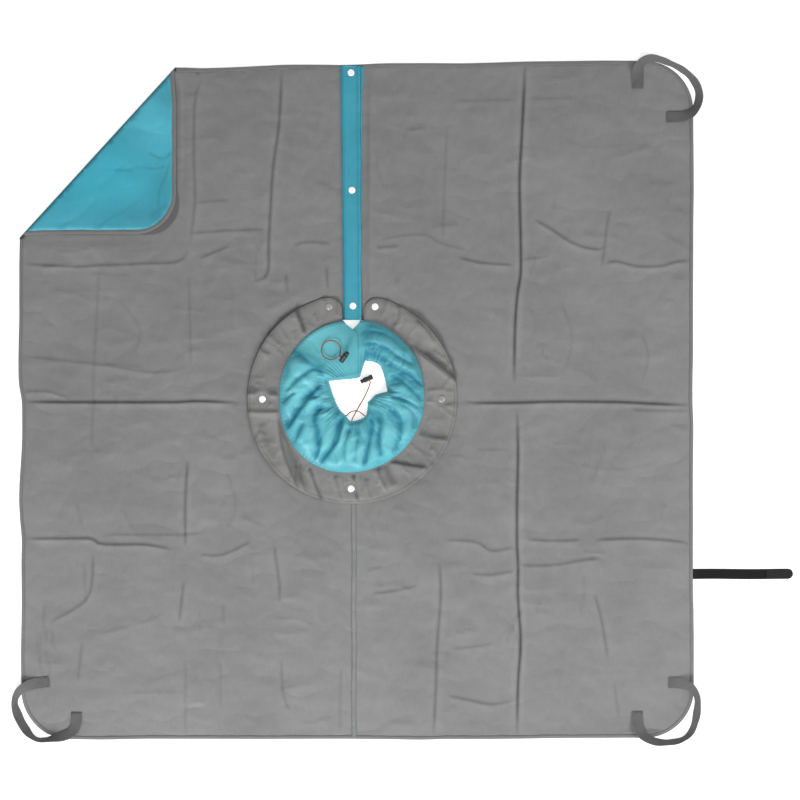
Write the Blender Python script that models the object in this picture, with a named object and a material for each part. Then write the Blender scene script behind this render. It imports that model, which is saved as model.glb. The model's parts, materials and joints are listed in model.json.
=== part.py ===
"""Ground mat for repotting: a square coated cloth with a slit, a drawstring collar and corner handles.

The mat lies on the ground round a stem. Metres, +Z up. The origin is the middle of the footprint
at ground level: the cloth with its handles and its roll-up strap lying out.
"""

import math

import bmesh
import bpy
from mathutils import Matrix, Vector

# Cloth of the mat
sheet_side = 1.500
sheet_thick = 0.0012
corner_radius = 0.109
binding_width = 0.008
fit_gap = 0.0003
hinge_gap = 0.0003

# Packing creases, as the mat is folded into eight columns and four rows
crease_column_shares = (-3 / 8, -1 / 4, -1 / 8, 1 / 8, 1 / 4, 3 / 8)
crease_row_shares = (-0.21, 0.0, 0.22)
crease_half_width = 0.018
crease_rise = 0.0045
flat_margin = 0.035

# Stem opening, slit and the seam between the two halves
hole_radius = 0.178
hole_shift_x = -0.0108
hole_shift_y = 0.0061
slit_shift = -0.0134
seam_shift = 0.0045
seam_tape_width = 0.011
strip_thick = 0.0008

# Turned-over corner
fold_top_leg = 0.3505
fold_side_leg = 0.3840
flap_edge_from_side = 0.3460
flap_edge_from_top = 0.3752
flap_corner_radius = 0.090

# Placket over the slit
placket_top_width = 0.0400
placket_end_width = 0.0360
placket_top_side = 0.0224
placket_end_side = 0.0156
placket_end_step = 0.0016
placket_margin_width = 0.0080
placket_foot_share = 0.33
placket_snap_shares = (0.055, 0.510, 0.972)
underlap_side_clear = 0.0008
underlap_top_width = 0.0424
underlap_end_width = 0.0334

# Snap fasteners
cap_radius = 0.0075
cap_rim = 0.0006
cap_height = 0.0016
cap_shank_radius = 0.0020
cap_shoulder_share = 0.82
cap_crown_share = 0.45
socket_radius = 0.0060
socket_height = 0.0018
socket_bore_radius = 0.0025
socket_crown = 0.0004
stud_radius = 0.0060
stud_flange = 0.0005
stud_post_radius = 0.0021
back_radius = 0.0050
back_thick = 0.0005
rivet_radius = 0.0015
snap_sides = 14

# Collar: a ring of the mat's cloth that snaps on, and a thin gathered sleeve
# How far inside the opening's edge the sleeve is sewn to the ring, and how far the ring laps under it
sleeve_hole_step = 0.0140
ring_sleeve_lap = 0.0080
ring_width = 0.0710
ring_end_radius = 0.0450
ring_left_clear = 0.0100
ring_right_clear = 0.0050
ring_droop = 0.0022
ring_droop_start_share = 0.84
ring_seam_share = 0.16
ring_fold_rise = 0.0060
ring_columns = 44
# Places of the snaps between the opening's edge and the ring's outer edge
ring_snap_share = 0.386
ring_end_snap_share = 0.605
ring_end_snap_angle = 14.0
ring_snap_angles = (0.0, 180.0, 269.4)
ring_calm_angle = 22.0
ring_calm_fade = 20.0
# Places of the ring's columns in its two rounded ends, from the end edge inward
ring_end_shares = (0.0, 0.005, 0.018, 0.042)
sleeve_thick = 0.0008
sleeve_crown = 0.0130
sleeve_mouth_rise = 0.0060
sleeve_pleats = 18
sleeve_pleat_depth = 0.0030
sleeve_swirl = 200.0
sleeve_calm_start = 8.0
sleeve_calm_end = 315.0
sleeve_calm_fade = 25.0
sleeve_columns = 72
sleeve_rows = 5
sleeve_overlap_rise = 0.0022
# Where round its run the sleeve climbs over its own first pleat
sleeve_overlap_shares = (0.90, 0.97)
sleeve_crown_bias = 0.8
sleeve_pleat_bias = 0.6
sleeve_overlap_angle = 4.0
sleeve_notch_width = 0.0330
sleeve_notch_share = 0.20
mouth_shift_x = 0.0112
mouth_shift_y = 0.0112
# Direction in degrees, then distance from the mouth's middle as a share of the sleeve's outer radius
mouth_shares = (
    (-180, 0.350), (-167, 0.322), (-118, 0.338), (-104, 0.393), (-69, 0.336), (-38, 0.190),
    (-10, 0.300), (2, 0.424), (14, 0.430), (52, 0.515), (74, 0.500), (82, 0.250),
    (112, 0.270), (156, 0.433), (180, 0.350),
)

# Drawcord and its locks
cord_diameter = 0.0025
cord_point_pitch = 0.0055
route_fine_steps = 24
lock_length = 0.0220
lock_radius = 0.00575
lock_bore_radius = 0.0043
lock_floor = 0.0015
lock_slot_height = 0.0062
lock_slot_start = 0.0075
lock_cord_place = 0.0100
lock_travel = 0.0025
plunger_radius = 0.0040
plunger_start = 0.0065
plunger_end = 0.0252
knob_radius = 0.0050
knob_thick = 0.0038
spring_wire = 0.0005
spring_radius = 0.0024
spring_turns = 3.5
spring_turn_points = 10
lock_sides = 20

# Handles: webbing loops sewn on at the corners
webbing_width = 0.0250
webbing_thick = 0.0015
handle_exit = 0.107
handle_reach = 0.062
handle_tilt = 48.0
handle_stations = 22
# How far out on the loop it starts and ends its step down from the mat's top to the ground
handle_step_shares = (0.34, 0.74)
patch_length = 0.056
patch_side_clear = 0.005

# Roll-up strap
strap_length = 0.2236
strap_width = 0.0230
strap_thick = 0.0012
strap_drop = 0.3846
hook_patch_length = 0.060
hook_patch_inset = 0.0015
hook_patch_thick = 0.0010

cut_overrun = 0.010
circle_steps = 64
corner_steps = 9

# Heights of the layers
sheet_top = sheet_thick
on_sheet = sheet_top + fit_gap
webbing_top = on_sheet + webbing_thick
flap_low = webbing_top + fit_gap
flap_axis_z = (flap_low + sheet_thick) / 2
underlap_top = on_sheet + strip_thick


def snap_levels(base):
    """Heights of a snap that stands on cloth whose top is at base."""
    stud_low = base + fit_gap
    flange_top = stud_low + stud_flange
    socket_low = flange_top + fit_gap
    socket_top = socket_low + socket_height
    cloth_low = socket_top + fit_gap
    cloth_top = cloth_low + strip_thick
    return {
        "base": base,
        "stud_low": stud_low,
        "flange_top": flange_top,
        "post_top": flange_top + socket_height - socket_crown,
        "socket_low": socket_low,
        "socket_top": socket_top,
        "cloth_low": cloth_low,
        "cloth_top": cloth_top,
        "cap_low": cloth_top + fit_gap,
    }


ring_levels = snap_levels(sheet_top)
placket_levels = snap_levels(underlap_top)


def smooth(value):
    value = min(1.0, max(0.0, value))
    return value * value * (3 - 2 * value)


def mix(low, high, share):
    return low + (high - low) * share


def turned_right(direction):
    """The level direction that is a quarter turn clockwise, seen from above."""
    return Vector((direction.y, -direction.x, 0))


# Handle loop in its own frame: x along the fold line, y outward, z up from the ground
half_span = handle_exit / math.sqrt(2)


def loop_section(angle, tilt, low_middle):
    """Four corners of the webbing at one station of the half oval."""
    out = Vector((math.cos(angle) / half_span, math.sin(angle) / handle_reach, 0)).normalized()
    lean = math.radians(tilt) * smooth(math.sin(angle))
    up = Vector((0, 0, 1))
    across = out * math.cos(lean) + up * math.sin(lean)
    through = up * math.cos(lean) - out * math.sin(lean)
    step_start, step_end = handle_step_shares
    low = mix(on_sheet, low_middle, smooth((math.sin(angle) - step_start) / (step_end - step_start)))
    height = low + (webbing_width * math.sin(lean) + webbing_thick * math.cos(lean)) / 2
    middle = Vector((half_span * math.cos(angle), handle_reach * math.sin(angle) + hinge_gap, height))
    half_across = across * (webbing_width / 2)
    half_through = through * (webbing_thick / 2)
    return (
        middle - half_across + half_through, middle + half_across + half_through,
        middle - half_across - half_through, middle + half_across - half_through,
    )


def loop_sections(tilt, low_middle):
    steps = handle_stations - 1
    return [loop_section(math.pi * step / steps, tilt, low_middle) for step in range(handle_stations)]


def corner_frame(corner, outward):
    """Frame of a handle: origin on the ground at the middle of its fold line."""
    along = turned_right(outward)
    origin = corner - outward * half_span
    frame = Matrix((along, outward, (0, 0, 1))).transposed().to_4x4()
    frame.translation = origin
    return frame


open_loop = loop_sections(handle_tilt, fit_gap)
diagonal = Vector((1, 1, 0)).normalized()
loop_overhang = max(
    (corner_frame(Vector((0, 0, 0)), diagonal) @ point).x for section in open_loop for point in section
)

# Places of the main pieces in the part's frame
half_side = sheet_side / 2
sleeve_outer_radius = hole_radius - sleeve_hole_step
ring_inner_radius = sleeve_outer_radius - ring_sleeve_lap
ring_outer_radius = sleeve_outer_radius + ring_width
ring_snap_radius = mix(hole_radius, ring_outer_radius, ring_snap_share)
ring_end_snap_radius = mix(hole_radius, ring_outer_radius, ring_end_snap_share)
placket_end_reach = hole_radius - placket_end_step
sheet_x = (loop_overhang - hinge_gap - strap_length) / 2
left_edge = sheet_x - half_side
right_edge = sheet_x + half_side
top_edge = half_side
bottom_edge = -half_side
hole = Vector((sheet_x + hole_shift_x, hole_shift_y, 0))
slit_x = hole.x + slit_shift
seam_x = hole.x + seam_shift
fold_top = Vector((left_edge + fold_top_leg, top_edge, 0))
fold_low = Vector((left_edge, top_edge - fold_side_leg, 0))
fold_along = (fold_top - fold_low).normalized()
fold_inward = turned_right(fold_along)
flap_right = left_edge + flap_edge_from_side
flap_bottom = top_edge - flap_edge_from_top
placket_axis_low = Vector((hole.x - placket_end_side, hole.y + placket_end_reach, 0))
placket_axis_high = Vector((hole.x - placket_top_side, top_edge, 0))
placket_along = (placket_axis_high - placket_axis_low).normalized()
placket_across = turned_right(placket_along)
placket_length = (placket_axis_high - placket_axis_low).length
placket_axis_z = (placket_levels["cloth_low"] + placket_levels["cloth_top"]) / 2
strap_y = -strap_drop
strap_axis_z = on_sheet


# Materials

def material(name, colour, roughness, metallic=0.0):
    made = bpy.data.materials.new(name)
    made.use_nodes = True
    shader = made.node_tree.nodes["Principled BSDF"]
    shader.inputs["Base Color"].default_value = (*colour, 1)
    shader.inputs["Roughness"].default_value = roughness
    shader.inputs["Metallic"].default_value = metallic
    made.diffuse_color = (*colour, 1)
    return made


FINISHES = {
    "grey_cloth": ((0.23, 0.23, 0.23), 0.6, 0.0),
    "turquoise_cloth": ((0.05, 0.40, 0.50), 0.5, 0.0),
    "turquoise_nylon": ((0.08, 0.50, 0.62), 0.35, 0.0),
    "grey_webbing": ((0.14, 0.14, 0.14), 0.8, 0.0),
    "black_hook_tape": ((0.02, 0.02, 0.02), 0.8, 0.0),
    "snap_metal": ((0.82, 0.82, 0.82), 0.3, 1.0),
    "brown_cord": ((0.40, 0.17, 0.07), 0.7, 0.0),
    "black_plastic": ((0.02, 0.02, 0.02), 0.45, 0.0),
    "spring_steel": ((0.6, 0.6, 0.6), 0.3, 1.0),
}


# Tools for making solids

def body(name, position, parent=None):
    """Empty on a joint's axis that carries the pieces that move together."""
    empty = bpy.data.objects.new(name + "_body", None)
    bpy.context.scene.collection.objects.link(empty)
    empty.location = position
    bpy.context.view_layer.update()
    if parent:
        empty.parent = parent
        empty.matrix_parent_inverse = parent.matrix_world.inverted()
    return empty


def add_object(name, data, finish, carrier=None):
    """Object of data that is given in world places, carried by a body's empty."""
    item = bpy.data.objects.new(name, data)
    bpy.context.scene.collection.objects.link(item)
    if finish:
        data.materials.append(bpy.data.materials[finish])
    if carrier:
        item.parent = carrier
        item.matrix_parent_inverse = carrier.matrix_world.inverted()
    return item


def mesh_of(name, form):
    bmesh.ops.recalc_face_normals(form, faces=form.faces)
    mesh = bpy.data.meshes.new(name)
    form.to_mesh(mesh)
    form.free()
    return mesh


def add_solid(name, form, finish, carrier=None, round_piece=False):
    mesh = mesh_of(name, form)
    if round_piece:
        mesh.shade_smooth()
        mesh.set_sharp_from_angle(angle=math.radians(40))
    return add_object(name, mesh, finish, carrier)


def thick_grid(form, upper, lower):
    """Closed solid between two grids of points, given as rows of equal length."""
    top = [[form.verts.new(point) for point in row] for row in upper]
    low = [[form.verts.new(point) for point in row] for row in lower]
    rows = len(top)
    columns = len(top[0])
    for row in range(rows - 1):
        for column in range(columns - 1):
            for grid in (top, low):
                form.faces.new((
                    grid[row][column], grid[row][column + 1],
                    grid[row + 1][column + 1], grid[row + 1][column],
                ))
    for row in range(rows - 1):
        for column in (0, columns - 1):
            form.faces.new((top[row][column], top[row + 1][column], low[row + 1][column], low[row][column]))
    for column in range(columns - 1):
        for row in (0, rows - 1):
            form.faces.new((top[row][column], top[row][column + 1], low[row][column + 1], low[row][column]))


def flat_strip(form, first_side, second_side, low, high):
    """Flat band between two level lines of equally many points."""
    rows = (first_side, second_side)
    upper = [[Vector((point.x, point.y, high)) for point in row] for row in rows]
    lower = [[Vector((point.x, point.y, low)) for point in row] for row in rows]
    thick_grid(form, upper, lower)


def plate(form, outline, low, high):
    """Level outline raised into a plate."""
    face = form.faces.new([form.verts.new((point.x, point.y, low)) for point in outline])
    raised = bmesh.ops.extrude_face_region(form, geom=[face])
    moved = [item for item in raised["geom"] if isinstance(item, bmesh.types.BMVert)]
    bmesh.ops.translate(form, verts=moved, vec=(0, 0, high - low))


def turned(form, profile, sides, frame):
    """Profile of (radius, height) pairs turned round its own z axis, then set in a frame."""
    turn = bmesh.new()
    points = [turn.verts.new((radius, 0, height)) for radius, height in profile]
    lines = [turn.edges.new(pair) for pair in zip(points, points[1:])]
    bmesh.ops.spin(
        turn, geom=points + lines, cent=(0, 0, 0), axis=(0, 0, 1),
        angle=math.tau, steps=sides, use_merge=True,
    )
    bmesh.ops.remove_doubles(turn, verts=turn.verts, dist=fit_gap / 100)
    bmesh.ops.transform(turn, matrix=frame, verts=turn.verts)
    bmesh.ops.recalc_face_normals(turn, faces=turn.faces)
    made = bpy.data.meshes.new("turned")
    turn.to_mesh(made)
    turn.free()
    form.from_mesh(made)
    bpy.data.meshes.remove(made)


def arc(centre, radius, start, end, steps):
    """Points of an arc, with its ends, angles in degrees."""
    points = []
    for step in range(steps + 1):
        angle = math.radians(mix(start, end, step / steps))
        points.append(centre + Vector((math.cos(angle), math.sin(angle), 0)) * radius)
    return points


def cut(target, cutter, operation):
    """Boolean of a closed cutter, which stays out of the built pieces."""
    cutter.hide_render = True
    cutter.display_type = "WIRE"
    modifier = target.modifiers.new(operation.lower() + "_" + cutter.name, "BOOLEAN")
    modifier.operation = operation
    modifier.object = cutter
    modifier.solver = "EXACT"


def add_cutter(name, form):
    return add_object(name, mesh_of(name, form), None)


# Outline of the mat

def corner_arc(x_sign, y_sign, inset):
    """Rounded corner of the mat, walked clockwise as seen from above."""
    radius = corner_radius - inset
    centre = Vector((
        sheet_x + x_sign * (half_side - corner_radius), y_sign * (half_side - corner_radius), 0,
    ))
    start = {(1, 1): 90, (1, -1): 0, (-1, -1): -90, (-1, 1): 180}[(x_sign, y_sign)]
    return arc(centre, radius, start, start - 90, corner_steps)


def on_fold(point_x=None, point_y=None, clear=hinge_gap / 2):
    """Point of the fold line, moved inward by clear, at a given x or y."""
    base = fold_low + fold_inward * clear
    if point_x is not None:
        return base + fold_along * ((point_x - base.x) / fold_along.x)
    return base + fold_along * ((point_y - base.y) / fold_along.y)


def hole_arc(start, end, radius=hole_radius):
    return arc(hole, radius, start, end, circle_steps // 2)


def angle_on_hole(x, upper):
    """Direction in degrees of the point where an upright line at x meets the opening's edge."""
    angle = math.degrees(math.acos((x - hole.x) / hole_radius))
    return angle if upper else -angle


def left_outline(inset):
    left_slit = slit_x - hinge_gap / 2
    left_seam = seam_x - hinge_gap / 2
    outer_top = top_edge - inset
    outer_left = left_edge + inset
    outline = [Vector((left_slit, outer_top, 0))]
    outline += hole_arc(angle_on_hole(left_slit, True), 360 + angle_on_hole(left_seam, False))
    outline.append(Vector((left_seam, bottom_edge + inset, 0)))
    outline += corner_arc(-1, -1, inset)
    outline.append(on_fold(point_x=outer_left))
    outline.append(on_fold(point_y=outer_top))
    return outline


def right_outline(inset):
    right_slit = slit_x + hinge_gap / 2
    right_seam = seam_x + hinge_gap / 2
    outline = [Vector((right_slit, top_edge - inset, 0))]
    outline += corner_arc(1, 1, inset)
    outline += corner_arc(1, -1, inset)
    outline.append(Vector((right_seam, bottom_edge + inset, 0)))
    outline += hole_arc(angle_on_hole(right_seam, False), angle_on_hole(right_slit, True))
    return outline


# Folds of the laid cloth

keep_flat_radius = ring_outer_radius + flat_margin
keep_flat_slit = placket_top_width + placket_margin_width + flat_margin
flat_flap_right = flap_right + flat_margin * 2
flat_flap_bottom = flap_bottom - flat_margin
column_creases = [sheet_x + share * sheet_side for share in crease_column_shares]
row_creases = [share * sheet_side for share in crease_row_shares]


def cloth_rise(x, y):
    """Height of the mat's underside: low ridges at the packing creases, flat under its fittings."""
    edge_clear = min(x - left_edge, right_edge - x, y - bottom_edge, top_edge - y) - binding_width
    if edge_clear <= 0:
        return 0.0
    under_flap = x <= flat_flap_right + fit_gap and y >= flat_flap_bottom - fit_gap
    from_hole = max(abs(x - hole.x), abs(y - hole.y))
    under_ring = from_hole <= keep_flat_radius + fit_gap
    by_slit = abs(x - slit_x) <= keep_flat_slit + fit_gap and y > hole.y
    if under_flap or under_ring or by_slit:
        return 0.0
    off_crease = min(
        min(abs(x - line) for line in column_creases), min(abs(y - line) for line in row_creases),
    )
    return crease_rise * max(0.0, 1 - off_crease / crease_half_width)


def crease_lines(creases):
    return [line + side for line in creases for side in (-crease_half_width, 0.0, crease_half_width)]


def panel_slab(x_low, x_high):
    """Creased cloth, a little larger than the panel that is cut from it."""
    x_lines = crease_lines(column_creases)
    x_lines += [left_edge + binding_width, left_edge + binding_width + flat_margin]
    x_lines += [right_edge - binding_width, right_edge - binding_width - flat_margin]
    x_lines += [hole.x - keep_flat_radius, hole.x + keep_flat_radius]
    x_lines += [slit_x - keep_flat_slit, slit_x + keep_flat_slit, flat_flap_right]
    x_lines = [line for line in x_lines if x_low < line < x_high] + [x_low, x_high]
    y_lines = crease_lines(row_creases)
    y_lines += [bottom_edge + binding_width, bottom_edge + binding_width + flat_margin]
    y_lines += [top_edge - binding_width, top_edge - binding_width - flat_margin]
    y_lines += [hole.y - keep_flat_radius, hole.y + keep_flat_radius]
    y_lines += [bottom_edge - cut_overrun, top_edge + cut_overrun]
    y_lines += [flat_flap_bottom, flat_flap_bottom - flat_margin]
    x_lines.sort()
    y_lines.sort()
    lower = [[Vector((x, y, cloth_rise(x, y))) for x in x_lines] for y in y_lines]
    upper = [[point + Vector((0, 0, sheet_thick)) for point in row] for row in lower]
    form = bmesh.new()
    thick_grid(form, upper, lower)
    return form


# Places of the snaps

def placket_point(along_share, across):
    return placket_axis_low + placket_along * (placket_length * along_share) + placket_across * across


def placket_snap_places():
    places = []
    for share in placket_snap_shares:
        width = mix(placket_end_width, placket_top_width, share)
        places.append(placket_point(share, width / 2))
    return places


def collar_snap_places():
    spots = [(ring_snap_radius, angle) for angle in ring_snap_angles]
    for side in (-ring_end_snap_angle, ring_end_snap_angle):
        spots.append((ring_end_snap_radius, 90.0 + side))
    places = []
    for radius, angle in spots:
        turn = math.radians(angle)
        places.append(hole + Vector((math.cos(turn), math.sin(turn), 0)) * radius)
    return places


def add_snaps(prefix, places, levels, upper_carrier):
    """Each snap is two halves: stud and rivet on the lower cloth, socket and cap on the upper cloth."""
    stud_profile = (
        (0, 0), (back_radius, 0), (back_radius, back_thick), (rivet_radius, back_thick),
        (rivet_radius, levels["stud_low"]), (stud_radius, levels["stud_low"]),
        (stud_radius, levels["flange_top"]), (stud_post_radius, levels["flange_top"]),
        (stud_post_radius, levels["post_top"]), (0, levels["post_top"]),
    )
    bore_top = levels["socket_top"] - socket_crown
    dome_top = levels["cap_low"] + cap_height
    cap_shoulder = cap_radius * cap_shoulder_share
    cap_crown = cap_radius * cap_crown_share
    socket_profile = (
        (0, bore_top), (socket_bore_radius, bore_top), (socket_bore_radius, levels["socket_low"]),
        (socket_radius, levels["socket_low"]), (socket_radius, levels["socket_top"]),
        (cap_shank_radius, levels["socket_top"]), (cap_shank_radius, levels["cap_low"]),
        (cap_radius, levels["cap_low"]), (cap_radius, levels["cap_low"] + cap_rim),
        (cap_shoulder, dome_top - cap_rim / 2), (cap_crown, dome_top), (0, dome_top),
    )
    halves = (("stud", stud_profile, None), ("socket", socket_profile, upper_carrier))
    for number, place in enumerate(places, 1):
        for half, profile, carrier in halves:
            form = bmesh.new()
            turned(form, profile, snap_sides, Matrix.Translation(place))
            name = f"{prefix}_snap_{number}_{half}"
            add_solid(name, form, "snap_metal", carrier, round_piece=True)


def hole_cutter(name, places, radius, low, high, bore_radius=0.0, bore_top=0.0):
    """Cutter for the snaps' holes, with a wider recess from below where one is asked for."""
    form = bmesh.new()
    profile = ((0, low), (radius, low), (radius, high), (0, high))
    if bore_radius:
        bore = ((0, low), (bore_radius, low), (bore_radius, bore_top))
        profile = bore + ((radius, bore_top), (radius, high), (0, high))
    for place in places:
        turned(form, profile, snap_sides, Matrix.Translation(place))
    return add_cutter(name, form)


# The mat's two panels, their binding and the seam

def add_panels():
    inset = binding_width + fit_gap
    stud_places = placket_snap_places() + collar_snap_places()
    on_left = [place for place in collar_snap_places() if place.x < seam_x]
    on_right = [place for place in stud_places if place.x > slit_x and place not in on_left]
    panels = (
        ("mat_panel_left", left_outline(inset), left_edge - cut_overrun, seam_x + cut_overrun, on_left),
        ("mat_panel_right", right_outline(inset), slit_x - cut_overrun, right_edge + cut_overrun, on_right),
    )
    for name, outline, x_low, x_high, places in panels:
        panel = add_solid(name, panel_slab(x_low, x_high), "grey_cloth")
        edge = bmesh.new()
        plate(edge, outline, -cut_overrun, cut_overrun)
        cut(panel, add_cutter(name + "_outline", edge), "INTERSECT")
        recess = hole_cutter(
            name + "_rivet_holes", places, rivet_radius + fit_gap, -cut_overrun, cut_overrun,
            back_radius + fit_gap, back_thick + fit_gap,
        )
        cut(panel, recess, "DIFFERENCE")


def add_binding():
    def run(inset):
        left_top = [Vector((slit_x - hinge_gap / 2, top_edge - inset, 0))]
        left_top.append(on_fold(point_y=top_edge - inset))
        left_low = [on_fold(point_x=left_edge + inset)]
        left_low += list(reversed(corner_arc(-1, -1, inset)))
        left_low.append(Vector((seam_x - hinge_gap / 2, bottom_edge + inset, 0)))
        right = [Vector((slit_x + hinge_gap / 2, top_edge - inset, 0))]
        right += corner_arc(1, 1, inset) + corner_arc(1, -1, inset)
        right.append(Vector((seam_x + hinge_gap / 2, bottom_edge + inset, 0)))
        return left_top, left_low, right

    for name, outer, inner in zip(("top_left", "lower_left", "right"), run(0.0), run(binding_width)):
        form = bmesh.new()
        flat_strip(form, outer, inner, 0, sheet_thick)
        add_solid("edge_binding_" + name, form, "grey_cloth")


def add_seam_tape():
    form = bmesh.new()
    start = hole.y - ring_outer_radius - fit_gap
    end = bottom_edge + binding_width
    tape_low = sheet_top + crease_rise + fit_gap
    crease = row_creases[0]
    stations = [start, crease + crease_half_width, crease, crease - crease_half_width, end]
    heights = [on_sheet, on_sheet, tape_low, on_sheet, on_sheet]
    lower = [
        [Vector((seam_x + side, y, height)) for y, height in zip(stations, heights)]
        for side in (-seam_tape_width / 2, seam_tape_width / 2)
    ]
    upper = [[point + Vector((0, 0, strip_thick)) for point in row] for row in lower]
    thick_grid(form, upper, lower)
    add_solid("centre_seam_tape", form, "grey_cloth")


# Turned-over corner

def flap_edge(inset):
    """Free edge of the turned-over corner, from the top of the fold line to its lower end."""
    right = flap_right - inset
    bottom = flap_bottom + inset
    centre = Vector((flap_right - flap_corner_radius, flap_bottom + flap_corner_radius, 0))
    edge = [on_fold(point_x=right)]
    edge += arc(centre, flap_corner_radius - inset, 0, -90, corner_steps)
    edge.append(on_fold(point_y=bottom))
    return edge


def add_corner_flap():
    carrier = body("corner_flap", (fold_top + fold_low) / 2 + Vector((0, 0, flap_axis_z)))
    cloth = bmesh.new()
    plate(cloth, flap_edge(binding_width + fit_gap), flap_low, flap_low + sheet_thick)
    add_solid("corner_flap", cloth, "turquoise_cloth", carrier)
    edge = bmesh.new()
    flat_strip(edge, flap_edge(0.0), flap_edge(binding_width), flap_low, flap_low + sheet_thick)
    add_solid("flap_binding", edge, "grey_cloth", carrier)
    corner = Vector((flap_right, flap_bottom, 0))
    outward = Vector((1, -1, 0)).normalized()
    frame = corner_frame(corner, outward)
    add_patches("handle_tl", corner, outward, carrier)
    add_loop("handle_tl_loop", loop_sections(0.0, on_sheet), frame, carrier)


# Handles

def add_patches(name, corner, outward, carrier=None):
    """Two sewn ends, square to the mat's edges at either side of a corner."""
    x_way = Vector((-math.copysign(1, outward.x), 0, 0))
    y_way = Vector((0, -math.copysign(1, outward.y), 0))
    for end, edge_way, inward in (("end_1", x_way, y_way), ("end_2", y_way, x_way)):
        near = corner + edge_way * (handle_exit + patch_side_clear)
        far = near + edge_way * webbing_width
        first = [near + inward * hinge_gap, near + inward * patch_length]
        second = [far + inward * hinge_gap, far + inward * patch_length]
        form = bmesh.new()
        flat_strip(form, first, second, on_sheet, webbing_top)
        add_solid(f"{name}_{end}", form, "grey_webbing", carrier)


def add_loop(name, sections, frame, carrier):
    corners = [[frame @ point for point in section] for section in sections]
    upper = [[section[0] for section in corners], [section[1] for section in corners]]
    lower = [[section[2] for section in corners], [section[3] for section in corners]]
    form = bmesh.new()
    thick_grid(form, upper, lower)
    add_solid(name, form, "grey_webbing", carrier, round_piece=True)


def handle_places():
    return (
        ("handle_tr", Vector((right_edge, top_edge, 0)), Vector((1, 1, 0)).normalized()),
        ("handle_br", Vector((right_edge, bottom_edge, 0)), Vector((1, -1, 0)).normalized()),
        ("handle_bl", Vector((left_edge, bottom_edge, 0)), Vector((-1, -1, 0)).normalized()),
    )


def handle_axis_point(corner, outward):
    return corner - outward * half_span + Vector((0, 0, on_sheet + webbing_thick / 2))


def add_handles():
    for name, corner, outward in handle_places():
        carrier = body(name, handle_axis_point(corner, outward))
        add_patches(name, corner, outward)
        add_loop(name + "_loop", open_loop, corner_frame(corner, outward), carrier)


# Placket

def add_placket():
    low = placket_levels["cloth_low"]
    high = placket_levels["cloth_top"]
    carrier = body("placket", placket_axis_low + Vector((0, 0, placket_axis_z)))
    form = bmesh.new()
    hinge_side = [placket_point(0, hinge_gap / 2), placket_point(1, hinge_gap / 2)]
    free_side = [placket_point(0, placket_end_width), placket_point(1, placket_top_width)]
    flat_strip(form, hinge_side, free_side, low, high)
    flap = add_solid("placket_flap", form, "turquoise_cloth", carrier)
    places = placket_snap_places()
    over = high + cut_overrun
    shank_holes = hole_cutter("placket_shank_holes", places, cap_shank_radius + fit_gap, 0, over)
    cut(flap, shank_holes, "DIFFERENCE")

    margin = bmesh.new()
    seam_high = low - fit_gap - strip_thick
    seam_foot = -placket_margin_width * placket_foot_share
    spots = ((-placket_margin_width, on_sheet), (seam_foot, on_sheet), (0, seam_high))
    lower = [
        [placket_point(share, across) + Vector((0, 0, height)) for share in (0, 1)]
        for across, height in spots
    ]
    upper = [[point + Vector((0, 0, strip_thick)) for point in row] for row in lower]
    thick_grid(margin, upper, lower)
    add_solid("placket_margin", margin, "turquoise_cloth")

    under = bmesh.new()
    near_x = slit_x + underlap_side_clear
    near_side = [Vector((near_x, placket_axis_low.y, 0)), Vector((near_x, top_edge, 0))]
    widths = (underlap_end_width, underlap_top_width)
    far_side = [point + Vector((width, 0, 0)) for point, width in zip(near_side, widths)]
    flat_strip(under, near_side, far_side, on_sheet, underlap_top)
    underlap = add_solid("slit_underlap", under, "turquoise_cloth")
    rivet_holes = hole_cutter("underlap_rivet_holes", places, rivet_radius + fit_gap, 0, high)
    cut(underlap, rivet_holes, "DIFFERENCE")
    add_snaps("placket", places, placket_levels, carrier)


# Collar

def ring_end_angle(x_clear, radius, left):
    """Direction of the ring's upright end edge at a radius."""
    turn = math.acos(x_clear / radius)
    return math.pi - turn if left else turn


ring_left_reach = placket_end_side + placket_margin_width + ring_left_clear / 2
ring_right_reach = placket_end_width - placket_end_side + ring_right_clear


def ring_rise(radius, angle):
    """Height of the ring's underside: level at the snaps, drooping outside, raised in folds between."""
    share = (radius - ring_inner_radius) / (ring_outer_radius - ring_inner_radius)
    out = max(0.0, (share - ring_droop_start_share) / (1 - ring_droop_start_share))
    between = math.sin(2 * angle) ** 2
    top_clear = smooth((abs(math.degrees(angle) - 90) - ring_calm_angle) / ring_calm_fade)
    fold = ring_fold_rise * between * top_clear * smooth((share - ring_seam_share) / (1 - ring_seam_share))
    return ring_levels["cloth_low"] - ring_droop * out * (1 - between * top_clear) + fold


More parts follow.
